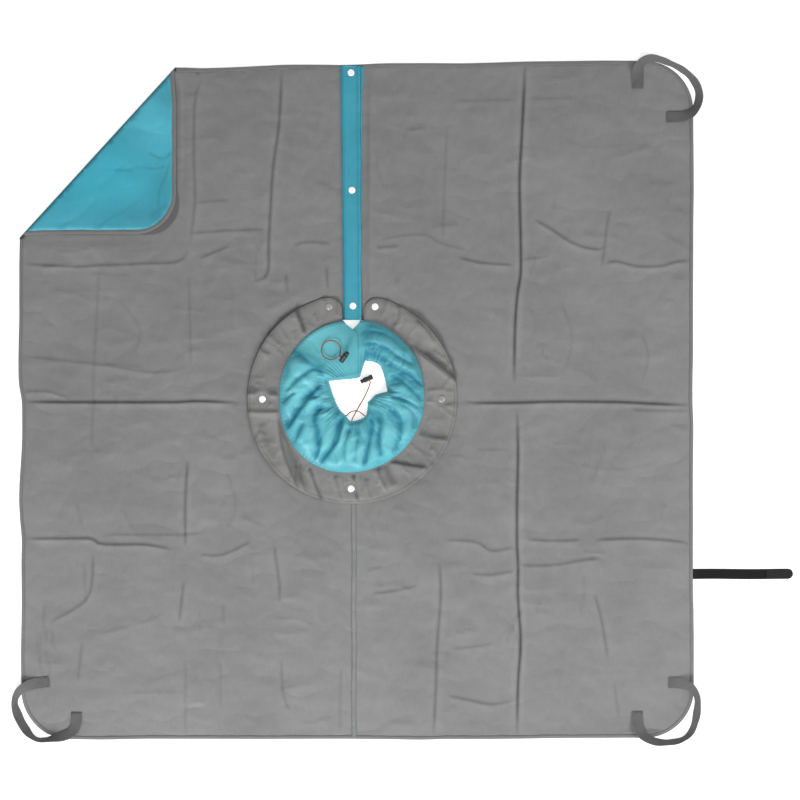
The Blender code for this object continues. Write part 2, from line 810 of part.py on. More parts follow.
def add_ring(carrier):
    steps = [step / ring_columns for step in range(ring_columns + 1)]
    last_end = ring_end_shares[-1] + 1 / ring_columns / 2
    shares = list(ring_end_shares) + [share for share in steps if last_end < share < 1 - last_end]
    shares += [1 - share for share in reversed(ring_end_shares)]
    row_shares = (0.0, ring_seam_share, ring_droop_start_share, 1.0)
    lower = []
    for row_share in row_shares:
        row = []
        for share in shares:
            outer = ring_outer_radius
            arc_from_end = min(share, 1 - share) * math.tau * ring_outer_radius
            if arc_from_end < ring_end_radius:
                back = 1 - arc_from_end / ring_end_radius
                outer -= ring_end_radius * (1 - math.sqrt(max(0.0, 1 - back * back)))
            radius = mix(ring_inner_radius, outer, row_share)
            start = ring_end_angle(ring_right_reach, radius, False)
            end = ring_end_angle(ring_left_reach, radius, True) - math.tau
            angle = mix(start, end, share)
            centre = hole + Vector((math.cos(angle), math.sin(angle), 0)) * radius
            row.append(centre + Vector((0, 0, ring_rise(radius, angle % math.tau))))
        lower.append(row)
    upper = [[point + Vector((0, 0, strip_thick)) for point in row] for row in lower]
    form = bmesh.new()
    thick_grid(form, upper, lower)
    ring = add_solid("collar_ring", form, "grey_cloth", carrier)
    high = ring_levels["cloth_top"] + ring_fold_rise
    shank_holes = hole_cutter("ring_shank_holes", collar_snap_places(), cap_shank_radius + fit_gap, 0, high)
    cut(ring, shank_holes, "DIFFERENCE")


def mouth_radius(direction):
    """Distance of the mouth's edge from its middle, in a direction in degrees."""
    direction = (direction + 180) % 360 - 180
    for (low, near), (high, far) in zip(mouth_shares, mouth_shares[1:]):
        if low <= direction <= high:
            return sleeve_outer_radius * mix(near, far, (direction - low) / (high - low))
    return sleeve_outer_radius * mouth_shares[0][1]


mouth_middle = hole + Vector((mouth_shift_x, mouth_shift_y, 0))
sleeve_edge_low = ring_levels["cloth_top"] + fit_gap


def pleat_share(angle):
    """Full pleats, but none by the slit and where the loop of cord lies."""
    past_slit = (90 - angle) % 360
    return smooth((past_slit - sleeve_calm_start) / sleeve_calm_fade) * smooth(
        (sleeve_calm_end - past_slit) / sleeve_calm_fade
    )


def sleeve_point(inward, angle, lift=0.0):
    """Underside of the sleeve: inward runs from its sewn edge to the mouth, angle in degrees."""
    turn = math.radians(angle)
    way = Vector((math.cos(turn), math.sin(turn), 0))
    outer = hole + way * sleeve_outer_radius
    inner = mouth_middle + way * mouth_radius(angle)
    place = outer.lerp(inner, inward)
    pleat = math.sin(math.radians(sleeve_pleats * angle + sleeve_swirl * inward))
    height = sleeve_edge_low + sleeve_mouth_rise * inward
    height += sleeve_crown * math.sin(math.pi * inward ** sleeve_crown_bias)
    pleat *= sleeve_pleat_depth * pleat_share(angle)
    height += pleat * math.sin(math.pi * inward ** sleeve_pleat_bias)
    return Vector((place.x, place.y, height + lift))


def overlap_lift(share):
    start, end = sleeve_overlap_shares
    return sleeve_overlap_rise * smooth((share - start) / (end - start))


def sleeve_height(place):
    """Top of the sleeve above a level place, away from its pleats."""
    offset = place - hole
    angle = math.degrees(math.atan2(offset.y, offset.x))
    low, high = 0.0, 1.0
    for _ in range(circle_steps):
        middle = (low + high) / 2
        spot = sleeve_point(middle, angle)
        if (Vector((spot.x, spot.y, 0)) - hole).length > Vector((offset.x, offset.y, 0)).length:
            low = middle
        else:
            high = middle
    share = (90 - angle) % 360 / 360
    return sleeve_point(low, angle).z + sleeve_thick + overlap_lift(share)


def sleeve_ends(inward):
    """First and last direction of the sleeve at a row: a notch outside, an overlap inside."""
    notch = math.degrees(sleeve_notch_width / 2 / sleeve_outer_radius)
    half = mix(notch, -sleeve_overlap_angle, smooth(inward / sleeve_notch_share))
    return 90 - half, 90 + half - 360


def add_sleeve(carrier):
    lower = []
    for row in range(sleeve_rows + 1):
        inward = row / sleeve_rows
        start, end = sleeve_ends(inward)
        line = []
        for column in range(sleeve_columns + 1):
            share = column / sleeve_columns
            line.append(sleeve_point(inward, mix(start, end, share), overlap_lift(share)))
        lower.append(line)
    upper = [[point + Vector((0, 0, sleeve_thick)) for point in row] for row in lower]
    form = bmesh.new()
    thick_grid(form, upper, lower)
    add_solid("collar_sleeve", form, "turquoise_nylon", carrier, round_piece=True)


# Drawcord

def smooth_route(points, pitch):
    """Evenly spaced points on a smooth curve through the route's own points."""
    ends = [points[0] * 2 - points[1]] + points + [points[-1] * 2 - points[-2]]
    fine = []
    for before, first, second, after in zip(ends, ends[1:], ends[2:], ends[3:]):
        for step in range(route_fine_steps):
            t = step / route_fine_steps
            fine.append((
                first * 2 + (second - before) * t + (before * 2 - first * 5 + second * 4 - after) * t * t
                + (first * 3 - before - second * 3 + after) * t * t * t
            ) / 2)
    fine.append(points[-1])
    lengths = [0.0]
    for first, second in zip(fine, fine[1:]):
        lengths.append(lengths[-1] + (second - first).length)
    count = max(2, round(lengths[-1] / pitch))
    route = []
    place = 0
    for step in range(count + 1):
        wanted = lengths[-1] * step / count
        while place < len(fine) - 2 and lengths[place + 1] < wanted:
            place += 1
        span = lengths[place + 1] - lengths[place]
        route.append(fine[place].lerp(fine[place + 1], (wanted - lengths[place]) / span))
    return route


def add_tube(name, route, diameter, finish, carrier, resolution=2):
    curve = bpy.data.curves.new(name, "CURVE")
    curve.dimensions = "3D"
    curve.bevel_depth = diameter / 2
    curve.bevel_resolution = resolution
    curve.use_fill_caps = True
    line = curve.splines.new("POLY")
    line.points.add(len(route) - 1)
    for point, place in zip(line.points, route):
        point.co = (*place, 1)
    line.use_smooth = True
    return add_object(name, curve, finish, carrier)


def route_length(route):
    return sum((second - first).length for first, second in zip(route, route[1:]))


# Tail of the cord, from the sleeve's hem towards the first lock. Metres from the stem opening's middle.
tail_route = (
    (-0.0007, -0.0495, 0.0096), (-0.0001, -0.0466, 0.0094), (0.0022, -0.0413, 0.0074),
    (0.0062, -0.0338, 0.0040), (0.0112, -0.0246, 0.0020), (0.0180, -0.0125, 0.0015),
    (0.0255, 0.0000, 0.0015), (0.0318, 0.0125, 0.0018), (0.0366, 0.0240, 0.0032),
)
# Bridge of cord across the gap in the hem, at the mouth's lower end
arch_route = (
    (-0.0132, -0.0381, 0.0096), (-0.0110, -0.0360, 0.0096), (-0.0062, -0.0313, 0.0090),
    (0.0000, -0.0276, 0.0082), (0.0075, -0.0262, 0.0078), (0.0155, -0.0280, 0.0080),
    (0.0222, -0.0322, 0.0088), (0.0273, -0.0371, 0.0096), (0.0298, -0.0385, 0.0096),
)
lock_a_place = (0.0367, 0.0461)
lock_a_turn = 204.6
lock_b_place = (-0.0190, 0.0905)
lock_b_turn = 53.6
lock_b_lift = 35.0
lock_b_clear = 0.0012
lock_exit_shares = (0.0, 0.5, 1.1, 1.7)
loop_radius = 0.0215
loop_place = (-0.0465, 0.1090)
loop_angles = (10, 45, 80, 115, 150, 185, 220, 255, 285)
loop_clear = 0.0009


def lock_frame(place, height, turn, lift):
    """Frame of a cord lock: x to its button, y along the cord, origin where the cord crosses its axis."""
    frame = Matrix.Rotation(math.radians(turn), 4, "Z") @ Matrix.Rotation(-math.radians(lift), 4, "Y")
    frame.translation = hole + Vector((*place, height))
    return frame


def lock_b_height():
    """The second lock leans on the sleeve with the lower rim of its barrel."""
    turn = math.radians(lock_b_turn)
    lift = math.radians(lock_b_lift)
    back = lock_cord_place * math.cos(lift) - lock_radius * math.sin(lift)
    rim = hole + Vector((*lock_b_place, 0)) - Vector((math.cos(turn), math.sin(turn), 0)) * back
    rise = lock_cord_place * math.sin(lift) + lock_radius * math.cos(lift)
    return sleeve_height(rim) + lock_b_clear + rise


lock_frames = {
    "cord_lock_a": lock_frame(lock_a_place, lock_radius + fit_gap, lock_a_turn, 0.0),
    "cord_lock_b": lock_frame(lock_b_place, lock_b_height(), lock_b_turn, lock_b_lift),
}


def slot_cutter(name, frame, start, end):
    form = bmesh.new()
    bmesh.ops.create_cube(form, size=1)
    size = Matrix.Diagonal((end - start, lock_radius * 4, lock_slot_height, 1))
    place = Matrix.Translation(((start + end) / 2 - lock_cord_place, 0, 0))
    bmesh.ops.transform(form, matrix=frame @ place @ size, verts=form.verts)
    return add_cutter(name, form)


def add_lock(name, carrier):
    """Barrel, sprung plunger and its spring. Heights in the profiles run along the lock's own axis."""
    frame = lock_frames[name]
    turn = frame @ Matrix.Translation((-lock_cord_place, 0, 0)) @ Matrix.Rotation(math.pi / 2, 4, "Y")
    edge = lock_floor / 2
    barrel = bmesh.new()
    barrel_profile = (
        (0, 0), (lock_radius - edge, 0), (lock_radius, edge), (lock_radius, lock_length - edge),
        (lock_radius - edge / 2, lock_length), (lock_bore_radius, lock_length),
        (lock_bore_radius, lock_floor), (0, lock_floor),
    )
    turned(barrel, barrel_profile, lock_sides, turn)
    shell = add_solid(name + "_barrel", barrel, "black_plastic", carrier, round_piece=True)
    barrel_slot_end = lock_cord_place + cord_diameter / 2 + fit_gap
    cut(shell, slot_cutter(name + "_barrel_slot", frame, lock_slot_start, barrel_slot_end), "DIFFERENCE")

    button_axis = body(name + "_plunger", frame.translation, carrier)
    plunger = bmesh.new()
    knob_end = plunger_end + knob_thick
    plunger_profile = (
        (0, plunger_start), (plunger_radius - edge / 2, plunger_start),
        (plunger_radius, plunger_start + edge / 2), (plunger_radius, plunger_end), (knob_radius, plunger_end),
        (knob_radius, knob_end - edge), (knob_radius - edge, knob_end), (0, knob_end),
    )
    turned(plunger, plunger_profile, lock_sides, turn)
    button = add_solid(name + "_plunger", plunger, "black_plastic", button_axis, round_piece=True)
    grip = lock_cord_place - cord_diameter / 2 - fit_gap
    slot_end = barrel_slot_end + lock_travel
    cut(button, slot_cutter(name + "_plunger_slot", frame, grip, slot_end), "DIFFERENCE")

    low = lock_floor + fit_gap + spring_wire / 2
    high = plunger_start - fit_gap - spring_wire / 2
    steps = round(spring_turns * spring_turn_points)
    coil = []
    for step in range(steps + 1):
        angle = math.tau * spring_turns * step / steps
        along = mix(low, high, step / steps) - lock_cord_place
        spot = Vector((along, spring_radius * math.cos(angle), spring_radius * math.sin(angle)))
        coil.append(frame @ spot)
    add_tube(name + "_spring", coil, spring_wire, "spring_steel", carrier, resolution=1)
    turn_gap = min(
        (first - second).length for first, second in zip(coil, coil[spring_turn_points:])
    ) - spring_wire
    print(name, "spring, least gap between turns in mm:", round(turn_gap * 1000, 2))


def loop_b_route():
    """Loop of cord that leaves the second lock, lies on the sleeve and comes back."""
    frame = lock_frames["cord_lock_b"]
    side = (cord_diameter + fit_gap) / 2
    leaving, coming = [
        [frame @ Vector((0, lock_radius * share, height)) for share in lock_exit_shares]
        for height in (side, -side)
    ]
    centre = hole + Vector((*loop_place, 0))
    lying = []
    for angle in loop_angles:
        turn = math.radians(angle)
        place = centre + Vector((math.cos(turn), math.sin(turn), 0)) * loop_radius
        lying.append(Vector((place.x, place.y, sleeve_height(place) + cord_diameter / 2 + loop_clear)))
    return leaving + lying + list(reversed(coming))


def tail_points():
    frame = lock_frames["cord_lock_a"]
    entry = [frame @ Vector((0, lock_radius * share, 0)) for share in reversed(lock_exit_shares)]
    return [hole + Vector(point) for point in tail_route] + entry


def add_cords(carrier):
    arch = [hole + Vector(point) for point in arch_route]
    routes = {"drawcord_tail": tail_points(), "drawcord_arch": arch, "drawcord_loop": loop_b_route()}
    for name, points in routes.items():
        route = smooth_route(points, cord_point_pitch)
        add_tube(name, route, cord_diameter, "brown_cord", carrier)
        print(name, "length in mm:", round(route_length(route) * 1000, 1))
    hem = []
    drop = fit_gap * 2 + cord_diameter / 2
    for column in range(sleeve_columns + 1):
        share = column / sleeve_columns
        start, end = sleeve_ends(1.0)
        angle = mix(start, end, share)
        if abs((angle - 90 + 180) % 360 - 180) > sleeve_overlap_angle * 2:
            hem.append(sleeve_point(1.0, angle, overlap_lift(share) - drop))
    add_tube("drawcord_hem_run", hem, cord_diameter, "brown_cord", carrier, resolution=1)
    print("drawcord_hem_run length in mm:", round(route_length(hem) * 1000, 1))


def add_collar():
    carrier = body("collar", hole)
    add_ring(carrier)
    add_sleeve(carrier)
    add_snaps("collar", collar_snap_places(), ring_levels, carrier)
    add_cords(carrier)
    for name in lock_frames:
        add_lock(name, carrier)


# Roll-up strap

def strap_outline(start, inset):
    """Strap with a round free end, from start to the tip."""
    half = strap_width / 2 - inset
    tip = right_edge + hinge_gap + strap_length
    centre = Vector((tip - strap_width / 2, strap_y, 0))
    outline = [Vector((start, strap_y + half, 0))]
    outline += arc(centre, half, 90, -90, corner_steps)
    outline.append(Vector((start, strap_y - half, 0)))
    return outline


def add_strap():
    carrier = body("roll_strap", (right_edge, strap_y, strap_axis_z))
    form = bmesh.new()
    plate(form, strap_outline(right_edge + hinge_gap, 0.0), 0, strap_thick)
    add_solid("roll_strap", form, "black_hook_tape", carrier)
    patch = bmesh.new()
    start = right_edge + hinge_gap + strap_length - hook_patch_length
    low = strap_thick + fit_gap
    plate(patch, strap_outline(start, hook_patch_inset), low, low + hook_patch_thick)
    add_solid("strap_hook_patch", patch, "black_hook_tape", carrier)


def build():
    for item in list(bpy.data.objects):
        bpy.data.objects.remove(item)
    for name, (colour, roughness, metallic) in FINISHES.items():
        material(name, colour, roughness, metallic)
    add_panels()
    add_binding()
    add_seam_tape()
    add_placket()
    add_corner_flap()
    add_handles()
    add_collar()
    add_strap()


build()
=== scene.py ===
"""Looks of the ground mat: creased coated cloth, snapped placket, gathered nylon collar, webbing handles."""

import json
import math

import bpy
import numpy as np
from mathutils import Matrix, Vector
from mathutils.geometry import delaunay_2d_cdt


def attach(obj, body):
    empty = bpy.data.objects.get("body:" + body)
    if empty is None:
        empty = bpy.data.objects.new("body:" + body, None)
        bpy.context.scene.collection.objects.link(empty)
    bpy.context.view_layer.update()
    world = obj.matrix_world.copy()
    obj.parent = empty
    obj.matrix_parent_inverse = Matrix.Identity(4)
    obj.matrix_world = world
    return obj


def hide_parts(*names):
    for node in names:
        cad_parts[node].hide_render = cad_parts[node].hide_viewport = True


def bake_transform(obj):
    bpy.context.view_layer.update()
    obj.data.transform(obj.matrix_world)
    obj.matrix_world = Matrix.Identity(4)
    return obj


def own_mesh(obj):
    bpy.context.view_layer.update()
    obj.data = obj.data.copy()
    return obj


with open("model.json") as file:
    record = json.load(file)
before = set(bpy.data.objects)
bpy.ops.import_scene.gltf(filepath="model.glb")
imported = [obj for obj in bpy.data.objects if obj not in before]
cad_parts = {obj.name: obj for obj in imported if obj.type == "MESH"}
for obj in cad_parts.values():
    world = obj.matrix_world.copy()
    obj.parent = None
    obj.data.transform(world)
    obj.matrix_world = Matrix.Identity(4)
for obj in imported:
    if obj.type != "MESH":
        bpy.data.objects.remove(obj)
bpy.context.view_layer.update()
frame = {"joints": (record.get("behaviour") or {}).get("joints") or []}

# Places in metres. A pixel of the photograph is 2.2331 mm on the mat.
mm = 0.001
pixel = 0.0022331
sheet_x = -0.0984976
middle_pixel = np.array((356.85, 401.75))
half_side, corner_round = 0.75, 0.109
left_edge, right_edge = sheet_x - half_side, sheet_x + half_side
top_edge, bottom_edge = half_side, -half_side
hole = np.array((-0.109298, 0.0061))
hole_radius = 0.178
slit_x, seam_x = -0.122698, -0.104798
fold_top, fold_low = np.array((-0.497998, 0.75)), np.array((-0.848498, 0.366))
flap_right, flap_bottom = -0.502498, 0.3748
fold_along = (fold_top - fold_low) / np.linalg.norm(fold_top - fold_low)
fold_inward = np.array((fold_along[1], -fold_along[0]))
sheet_thick = 0.0012
hinge_gap = 0.0003
# The drawn skins are a little thinner than the CAD's cloth
cloth_skin = 0.0009
# Stitches at a bound edge: how far inside it they run, and how high above the cloth
stitch_inset, stitch_lift, stitch_step = 0.0062, 0.00078, 0.004


def spot(px, py):
    """Place on the mat of a pixel of the photograph."""
    return np.array((sheet_x + (px - middle_pixel[0]) * pixel, (middle_pixel[1] - py) * pixel))


def spots(pixels):
    """Places of several pixels. Anything after a pixel's two numbers is left out."""
    return np.array([spot(*pair[:2]) for pair in pixels])


def mix(low, high, share):
    return low + (high - low) * share


def smooth(value):
    value = np.clip(value, 0.0, 1.0)
    return value * value * (3 - 2 * value)


def smoothed(points, steps):
    """Fine points on a smooth curve through the given ones."""
    p = np.array(points, float)
    p = np.vstack((2 * p[:1] - p[1:2], p, 2 * p[-1:] - p[-2:-1]))
    t = np.linspace(0, 1, steps, endpoint=False)[:, None]
    spans = []
    for a, b, c, d in zip(p, p[1:], p[2:], p[3:]):
        squared, cubed = 2 * a - 5 * b + 4 * c - d, 3 * b - a - 3 * c + d
        spans.append((2 * b + (c - a) * t + squared * t ** 2 + cubed * t ** 3) / 2)
    return np.vstack(spans + [p[-2:-1]])


def lengths_along(points):
    return np.concatenate(([0.0], np.cumsum(np.linalg.norm(np.diff(points, axis=0), axis=1))))


def paced(points, pitch):
    """The same line in even steps of about one pitch."""
    along = lengths_along(points)
    count = max(2, int(round(along[-1] / pitch)) + 1)
    wanted = np.linspace(0, along[-1], count)
    return np.column_stack([np.interp(wanted, along, column) for column in np.array(points, float).T])


def level(points, height=0.0):
    """World places above level ones, at one height or at one for each."""
    points = np.atleast_2d(points)
    return np.column_stack((points, np.broadcast_to(height, len(points))))


def raised(flat, height, shape):
    """Grid of world places, in rows, above level ones."""
    return level(flat, height).reshape(*shape, 3)


def around(turn, radius=1.0):
    """Level places round the origin, at angles in radians."""
    return np.column_stack((np.cos(turn) * radius, np.sin(turn) * radius))


def turned_from(degrees, middle):
    """How far angles are from a middle one, from -180 to 180."""
    return (degrees - middle + 180) % 360 - 180


def patch(points, px, py, wide, high):
    """Soft round patch about a pixel of the photograph: 1 in its middle, 0 far away."""
    return np.exp(-(((points - spot(px, py)) / (wide, high)) ** 2).sum(axis=-1))


def linked(name, data):
    """New object of some data in the scene."""
    made = bpy.data.objects.new(name, data)
    bpy.context.scene.collection.objects.link(made)
    return made


# Camera and lamps

def add_camera():
    """Camera straight above the middle of the photograph, whose half width is 400 pixels."""
    height, half_view = 8.0, 400
    lens = bpy.data.cameras.new("camera")
    lens.lens = lens.sensor_width / 2 * height / (half_view * pixel)
    lens.clip_end = 60
    camera = linked("camera", lens)
    camera.location = (*spot(half_view, half_view), height)
    bpy.context.scene.camera = camera


def add_lamp(name, place, aim, size, power):
    data = bpy.data.lights.new(name, "AREA")
    data.shape = "RECTANGLE"
    data.size, data.size_y = size
    data.energy = power
    lamp = linked(name, data)
    lamp.location = place
    lamp.rotation_mode = "QUATERNION"
    lamp.rotation_quaternion = (Vector(aim) - Vector(place)).to_track_quat("-Z", "Y")


add_camera()
bpy.context.scene.view_settings.view_transform = "Standard"


# Shader maths

class Field:
    """A socket in a node tree. Sums and products of fields add Math nodes."""

    def __init__(self, nodes, socket):
        self.nodes = nodes
        self.socket = socket

    def beside(self, output):
        """Another output of the same node."""
        return Field(self.nodes, self.socket.node.outputs[output])

    def maths(self, operation, *values):
        return self.nodes.node("ShaderNodeMath", {"operation": operation}, dict(enumerate(values)))

    def __add__(self, other):
        return self.maths("ADD", self, other)

    def __sub__(self, other):
        return self.maths("SUBTRACT", self, other)

    def __mul__(self, other):
        return self.maths("MULTIPLY", self, other)

    __radd__ = __add__
    __rmul__ = __mul__

    def wave(self, pitch, shift=0.0):
        """Sine of a length in metres, from -1 to 1, one period in a pitch."""
        return self.maths("SINE", self * (math.tau / pitch) + shift)

    def size(self):
        return self.maths("ABSOLUTE", self)

    def low(self, limit=0.0):
        """The field, nowhere below a limit or another field."""
        return self.maths("MAXIMUM", self, limit)

    def eased(self, start, end):
        """Smooth step from 0 at start to 1 at end."""
        settings = {"interpolation_type": "SMOOTHSTEP"}
        return self.nodes.node("ShaderNodeMapRange", settings, {"Value": self, "From Min": start, "From Max": end})


class Nodes:
    """A node tree, of a material or of the world."""

    def __init__(self, tree):
        self.tree = tree

    def feed(self, socket, value):
        if isinstance(value, Field):
            self.tree.links.new(value.socket, socket)
        elif isinstance(value, (tuple, list)) and socket.type == "RGBA" and len(value) == 3:
            socket.default_value = (*value, 1)
        else:
            socket.default_value = value

    def node(self, kind, settings, sockets, output=0):
        """Any node: its settings first, then the values and links of its sockets."""
        made = self.tree.nodes.new(kind)
        for key, value in settings.items():
            setattr(made, key, value)
        for key, value in sockets.items():
            self.feed(made.inputs[key], value)
        return Field(self, made.outputs[output])

    def seen(self):
        """1 for rays from the camera or through a gloss or clear matter, 0 for scattered light."""
        camera = self.node("ShaderNodeLightPath", {}, {}, "Is Camera Ray")
        return camera.low(camera.beside("Is Glossy Ray")).low(camera.beside("Is Transmission Ray"))


class Finish(Nodes):
    """A material with one Principled shader."""

    def __init__(self, name, colour, roughness, **shader_values):
        self.material = bpy.data.materials.new(name)
        self.material.use_nodes = True
        super().__init__(self.material.node_tree)
        self.shader = self.tree.nodes["Principled BSDF"]
        self.material.diffuse_color = (*colour, 1)
        self.set("Base Color", colour)
        self.set("Roughness", roughness)
        for key, value in shader_values.items():
            self.set(key.replace("_", " ").title().replace("Ior", "IOR"), value)

    def attribute(self, name, output="Fac"):
        return self.node("ShaderNodeAttribute", {"attribute_name": name}, {}, output)

    def lay(self):
        """Place on the cloth in metres: the vector and its first two parts."""
        place = self.attribute("lay", "Vector")
        along = self.node("ShaderNodeSeparateXYZ", {}, {0: place})
        return place, along, along.beside(1)

    def noise(self, place, pitch, detail=3.0, roughness=0.55, stretch=None):
        """Noise about 0, from -0.5 to 0.5, with features about one pitch wide."""
        if stretch:
            place = self.node("ShaderNodeVectorMath", {"operation": "MULTIPLY"}, {0: place, 1: stretch})
        sockets = {"Vector": place, "Scale": 1 / pitch, "Detail": detail, "Roughness": roughness}
        return self.node("ShaderNodeTexNoise", {"noise_dimensions": "3D"}, sockets, "Fac") - 0.5

    def blended(self, share, first, second):
        """Colour mix: first at share 0, second at share 1."""
        factor, one, other, colour = 0, 6, 7, 2
        sockets = {factor: share, one: first, other: second}
        return self.node("ShaderNodeMix", {"data_type": "RGBA"}, sockets, colour)

    def shaded(self, colour, share):
        """The colour made darker or lighter by a field."""
        grey = self.node("ShaderNodeCombineXYZ", {}, {0: share, 1: share, 2: share})
        return self.node("ShaderNodeVectorMath", {"operation": "MULTIPLY"}, {0: colour, 1: grey})

    def bump(self, height, reach):
        """Surface relief of a field, reach in metres at the field's 1."""
        sockets = {"Height": height, "Distance": reach, "Strength": 1.0}
        self.set("Normal", self.node("ShaderNodeBump", {}, sockets))

    def set(self, name, value):
        self.feed(self.shader.inputs[name], value)


finishes = {}
# Height in metres of the grey cloth's finest wrinkles where their field is 1
wrinkle_reach = 0.009


def coated_cloth(name, colour, shade, roughness, crease_depth, weave_reach, crumpled=1.0, pitch=0.0016):
    """Woven cloth with a coating: threads both ways, soft blotches, and painted shade that darkens its creases."""
    finish = Finish(name, colour, roughness, specular_ior_level=0.30)
    place, along, across = finish.lay()
    threads = along.wave(pitch) * across.wave(pitch, 0.7)
    slubs = finish.noise(place, 0.006, 2.0, 0.6, (0.25, 1.0, 1.0))
    slubs = slubs + finish.noise(place, 0.006, 2.0, 0.6, (1.0, 0.25, 1.0))
    clouds = finish.noise(place, 0.11, 4.0, 0.6)
    blotches = finish.noise(place, 0.028, 3.0, 0.55)
    crease = finish.attribute("crease")
    wrinkles = finish.noise(place, 0.10, 2.0, 0.5, (0.60, 1.0, 1.0)).size()
    wrinkles = wrinkles + finish.noise(place, 0.036, 2.0, 0.5, (1.0, 0.5, 1.0)).size() * 0.36
    share = 1 + clouds * 0.24 + blotches * 0.14 + slubs * 0.08 + threads * 0.045 + wrinkles * 0.10 * crumpled
    # Painted shade: the crease attribute darkens the colour along creases and shadows
    share = share - crease * crease_depth
    tint = finish.blended(finish.noise(place, 0.30, 2.0).eased(-0.2, 0.2), colour, shade)
    finish.set("Base Color", finish.shaded(tint, share))
    finish.set("Roughness", roughness + blotches * 0.16 + threads * 0.05)
    weave = (threads + slubs * 1.4 + blotches * 2.2) * (weave_reach / wrinkle_reach)
    finish.bump(weave + wrinkles * crumpled, wrinkle_reach)
    finishes[name] = finish


def nylon(name, colour, deep, pale):
    """Thin glossy nylon: fine ripstop threads, its colour deepened by painted shade in its valleys and paled by
    painted light in lit places and where it is drawn tight.
    """
    finish = Finish(name, colour, 0.30, specular_ior_level=0.4, coat_roughness=0.22)
    place, along, across = finish.lay()
    threads = along.wave(0.0011) * across.wave(0.0011, 0.5)
    crinkle = finish.noise(place, 0.012, 4.0, 0.6, (1.0, 0.35, 1.0))
    clouds = finish.noise(place, 0.05, 3.0)
    depth = finish.attribute("crease")
    # Painted shade and light: the crease attribute moves the colour between pale and deep
    tint = finish.blended((depth + crinkle * 0.4).eased(-0.65, 0.95), pale, deep)
    finish.set("Base Color", finish.shaded(tint, 1 + clouds * 0.14 + threads * 0.04 + crinkle * 0.12))
    finish.set("Roughness", 0.42 + crinkle * 0.18 + clouds * 0.10)
    finish.set("Coat Weight", 0.05 + clouds * 0.05)
    finish.bump(threads * 0.35 + crinkle * 3.0, 0.00012)
    finishes[name] = finish


def webbing_finish(name, colour):
    """Ribbed webbing: chevrons of thread, firm selvedges, a little fluff."""
    finish = Finish(name, colour, 0.82, specular_ior_level=0.25, sheen_weight=0.15)
    place, along, across = finish.lay()
    side = across.size()
    ribs = (along + side * 0.8).wave(0.0021)
    rows = across.wave(0.0013)
    selvedge = side.eased(0.0100, 0.0112)
    fluff = finish.noise(place, 0.004, 3.0)
    wear = finish.noise(place, 0.03, 3.0)
    share = 0.95 + ribs * 0.10 + rows * 0.05 + selvedge * 0.10 + fluff * 0.22 + wear * 0.20
    finish.set("Base Color", finish.shaded(colour, share))
    finish.set("Roughness", 0.8 + fluff * 0.2)
    finish.bump(ribs + rows * 0.5 + fluff * 1.2 + selvedge * 1.5, 0.00014)
    finishes[name] = finish


def hook_tape_finish(name, colour, hooks):
    """Black tape: twill ground, with rows of tiny hooks on the patch."""
    finish = Finish(name, colour, 0.75, specular_ior_level=0.2)
    place, along, across = finish.lay()
    rows = (along.wave(0.0018) * across.wave(0.0016)).low()
    twill = (along + across).wave(0.0012)
    relief = rows * hooks + twill * (1 - hooks) * 0.5
    dust = finish.noise(place, 0.015, 5.0, 0.65)
    finish.set("Base Color", finish.shaded(colour, 1 + relief * 0.8 + dust * 0.7))
    finish.set("Roughness", 0.72 + dust * 0.3 - relief * 0.15)
    finish.bump(relief + dust * 0.5, 0.0003)
    finishes[name] = finish


def cord_finish(name, colour, tracer):
    """Braided cord: strands that cross, and a darker tracer strand."""
    finish = Finish(name, colour, 0.7, specular_ior_level=0.3, sheen_weight=0.2)
    place, along, across = finish.lay()
    one = (along + across * 1.4).wave(0.0034)
    other = (along - across * 1.4).wave(0.0034)
    strands = one.low(other)
    fibre = finish.noise(place, 0.0009, 2.0)
    marked = (along + across * 1.4).wave(0.0136).eased(0.72, 0.92)
    tint = finish.blended(marked, colour, tracer)
    finish.set("Base Color", finish.shaded(tint, 0.84 + strands * 0.2 + fibre * 0.3))
    finish.set("Roughness", 0.68 + fibre * 0.2)
    finish.bump(strands + fibre * 0.6, 0.00012)
    finishes[name] = finish


def thread_finish(name, colour):
    """Twisted sewing thread."""
    finish = Finish(name, colour, 0.6, specular_ior_level=0.3)
    place, along, across = finish.lay()
    twist = (along + across).wave(0.0009)
    fibre = finish.noise(place, 0.002, 2.0)
    finish.set("Base Color", finish.shaded(colour, 1 + twist * 0.12 + fibre * 0.4))
    finish.set("Roughness", 0.6 + fibre * 0.2)
    finishes[name] = finish


def solid_finish(name, colour, roughness, pitch, metallic=0.0, shade=0.2, reach=0.00003):
    """Moulded plastic or plated metal: fine grain and handling marks in the part's own space."""
    finish = Finish(name, colour, roughness, metallic=metallic)
    place = finish.node("ShaderNodeTexCoord", {}, {}, "Object")
    grain = finish.noise(place, pitch, 3.0)
    marks = finish.noise(place, pitch * 9, 4.0, 0.65)
    finish.set("Base Color", finish.shaded(colour, 1 + grain * shade + marks * shade * 1.5))
    finish.set("Roughness", roughness + marks * 0.25 + grain * 0.1)
    finish.bump(grain + marks * 0.5, reach)
    finishes[name] = finish


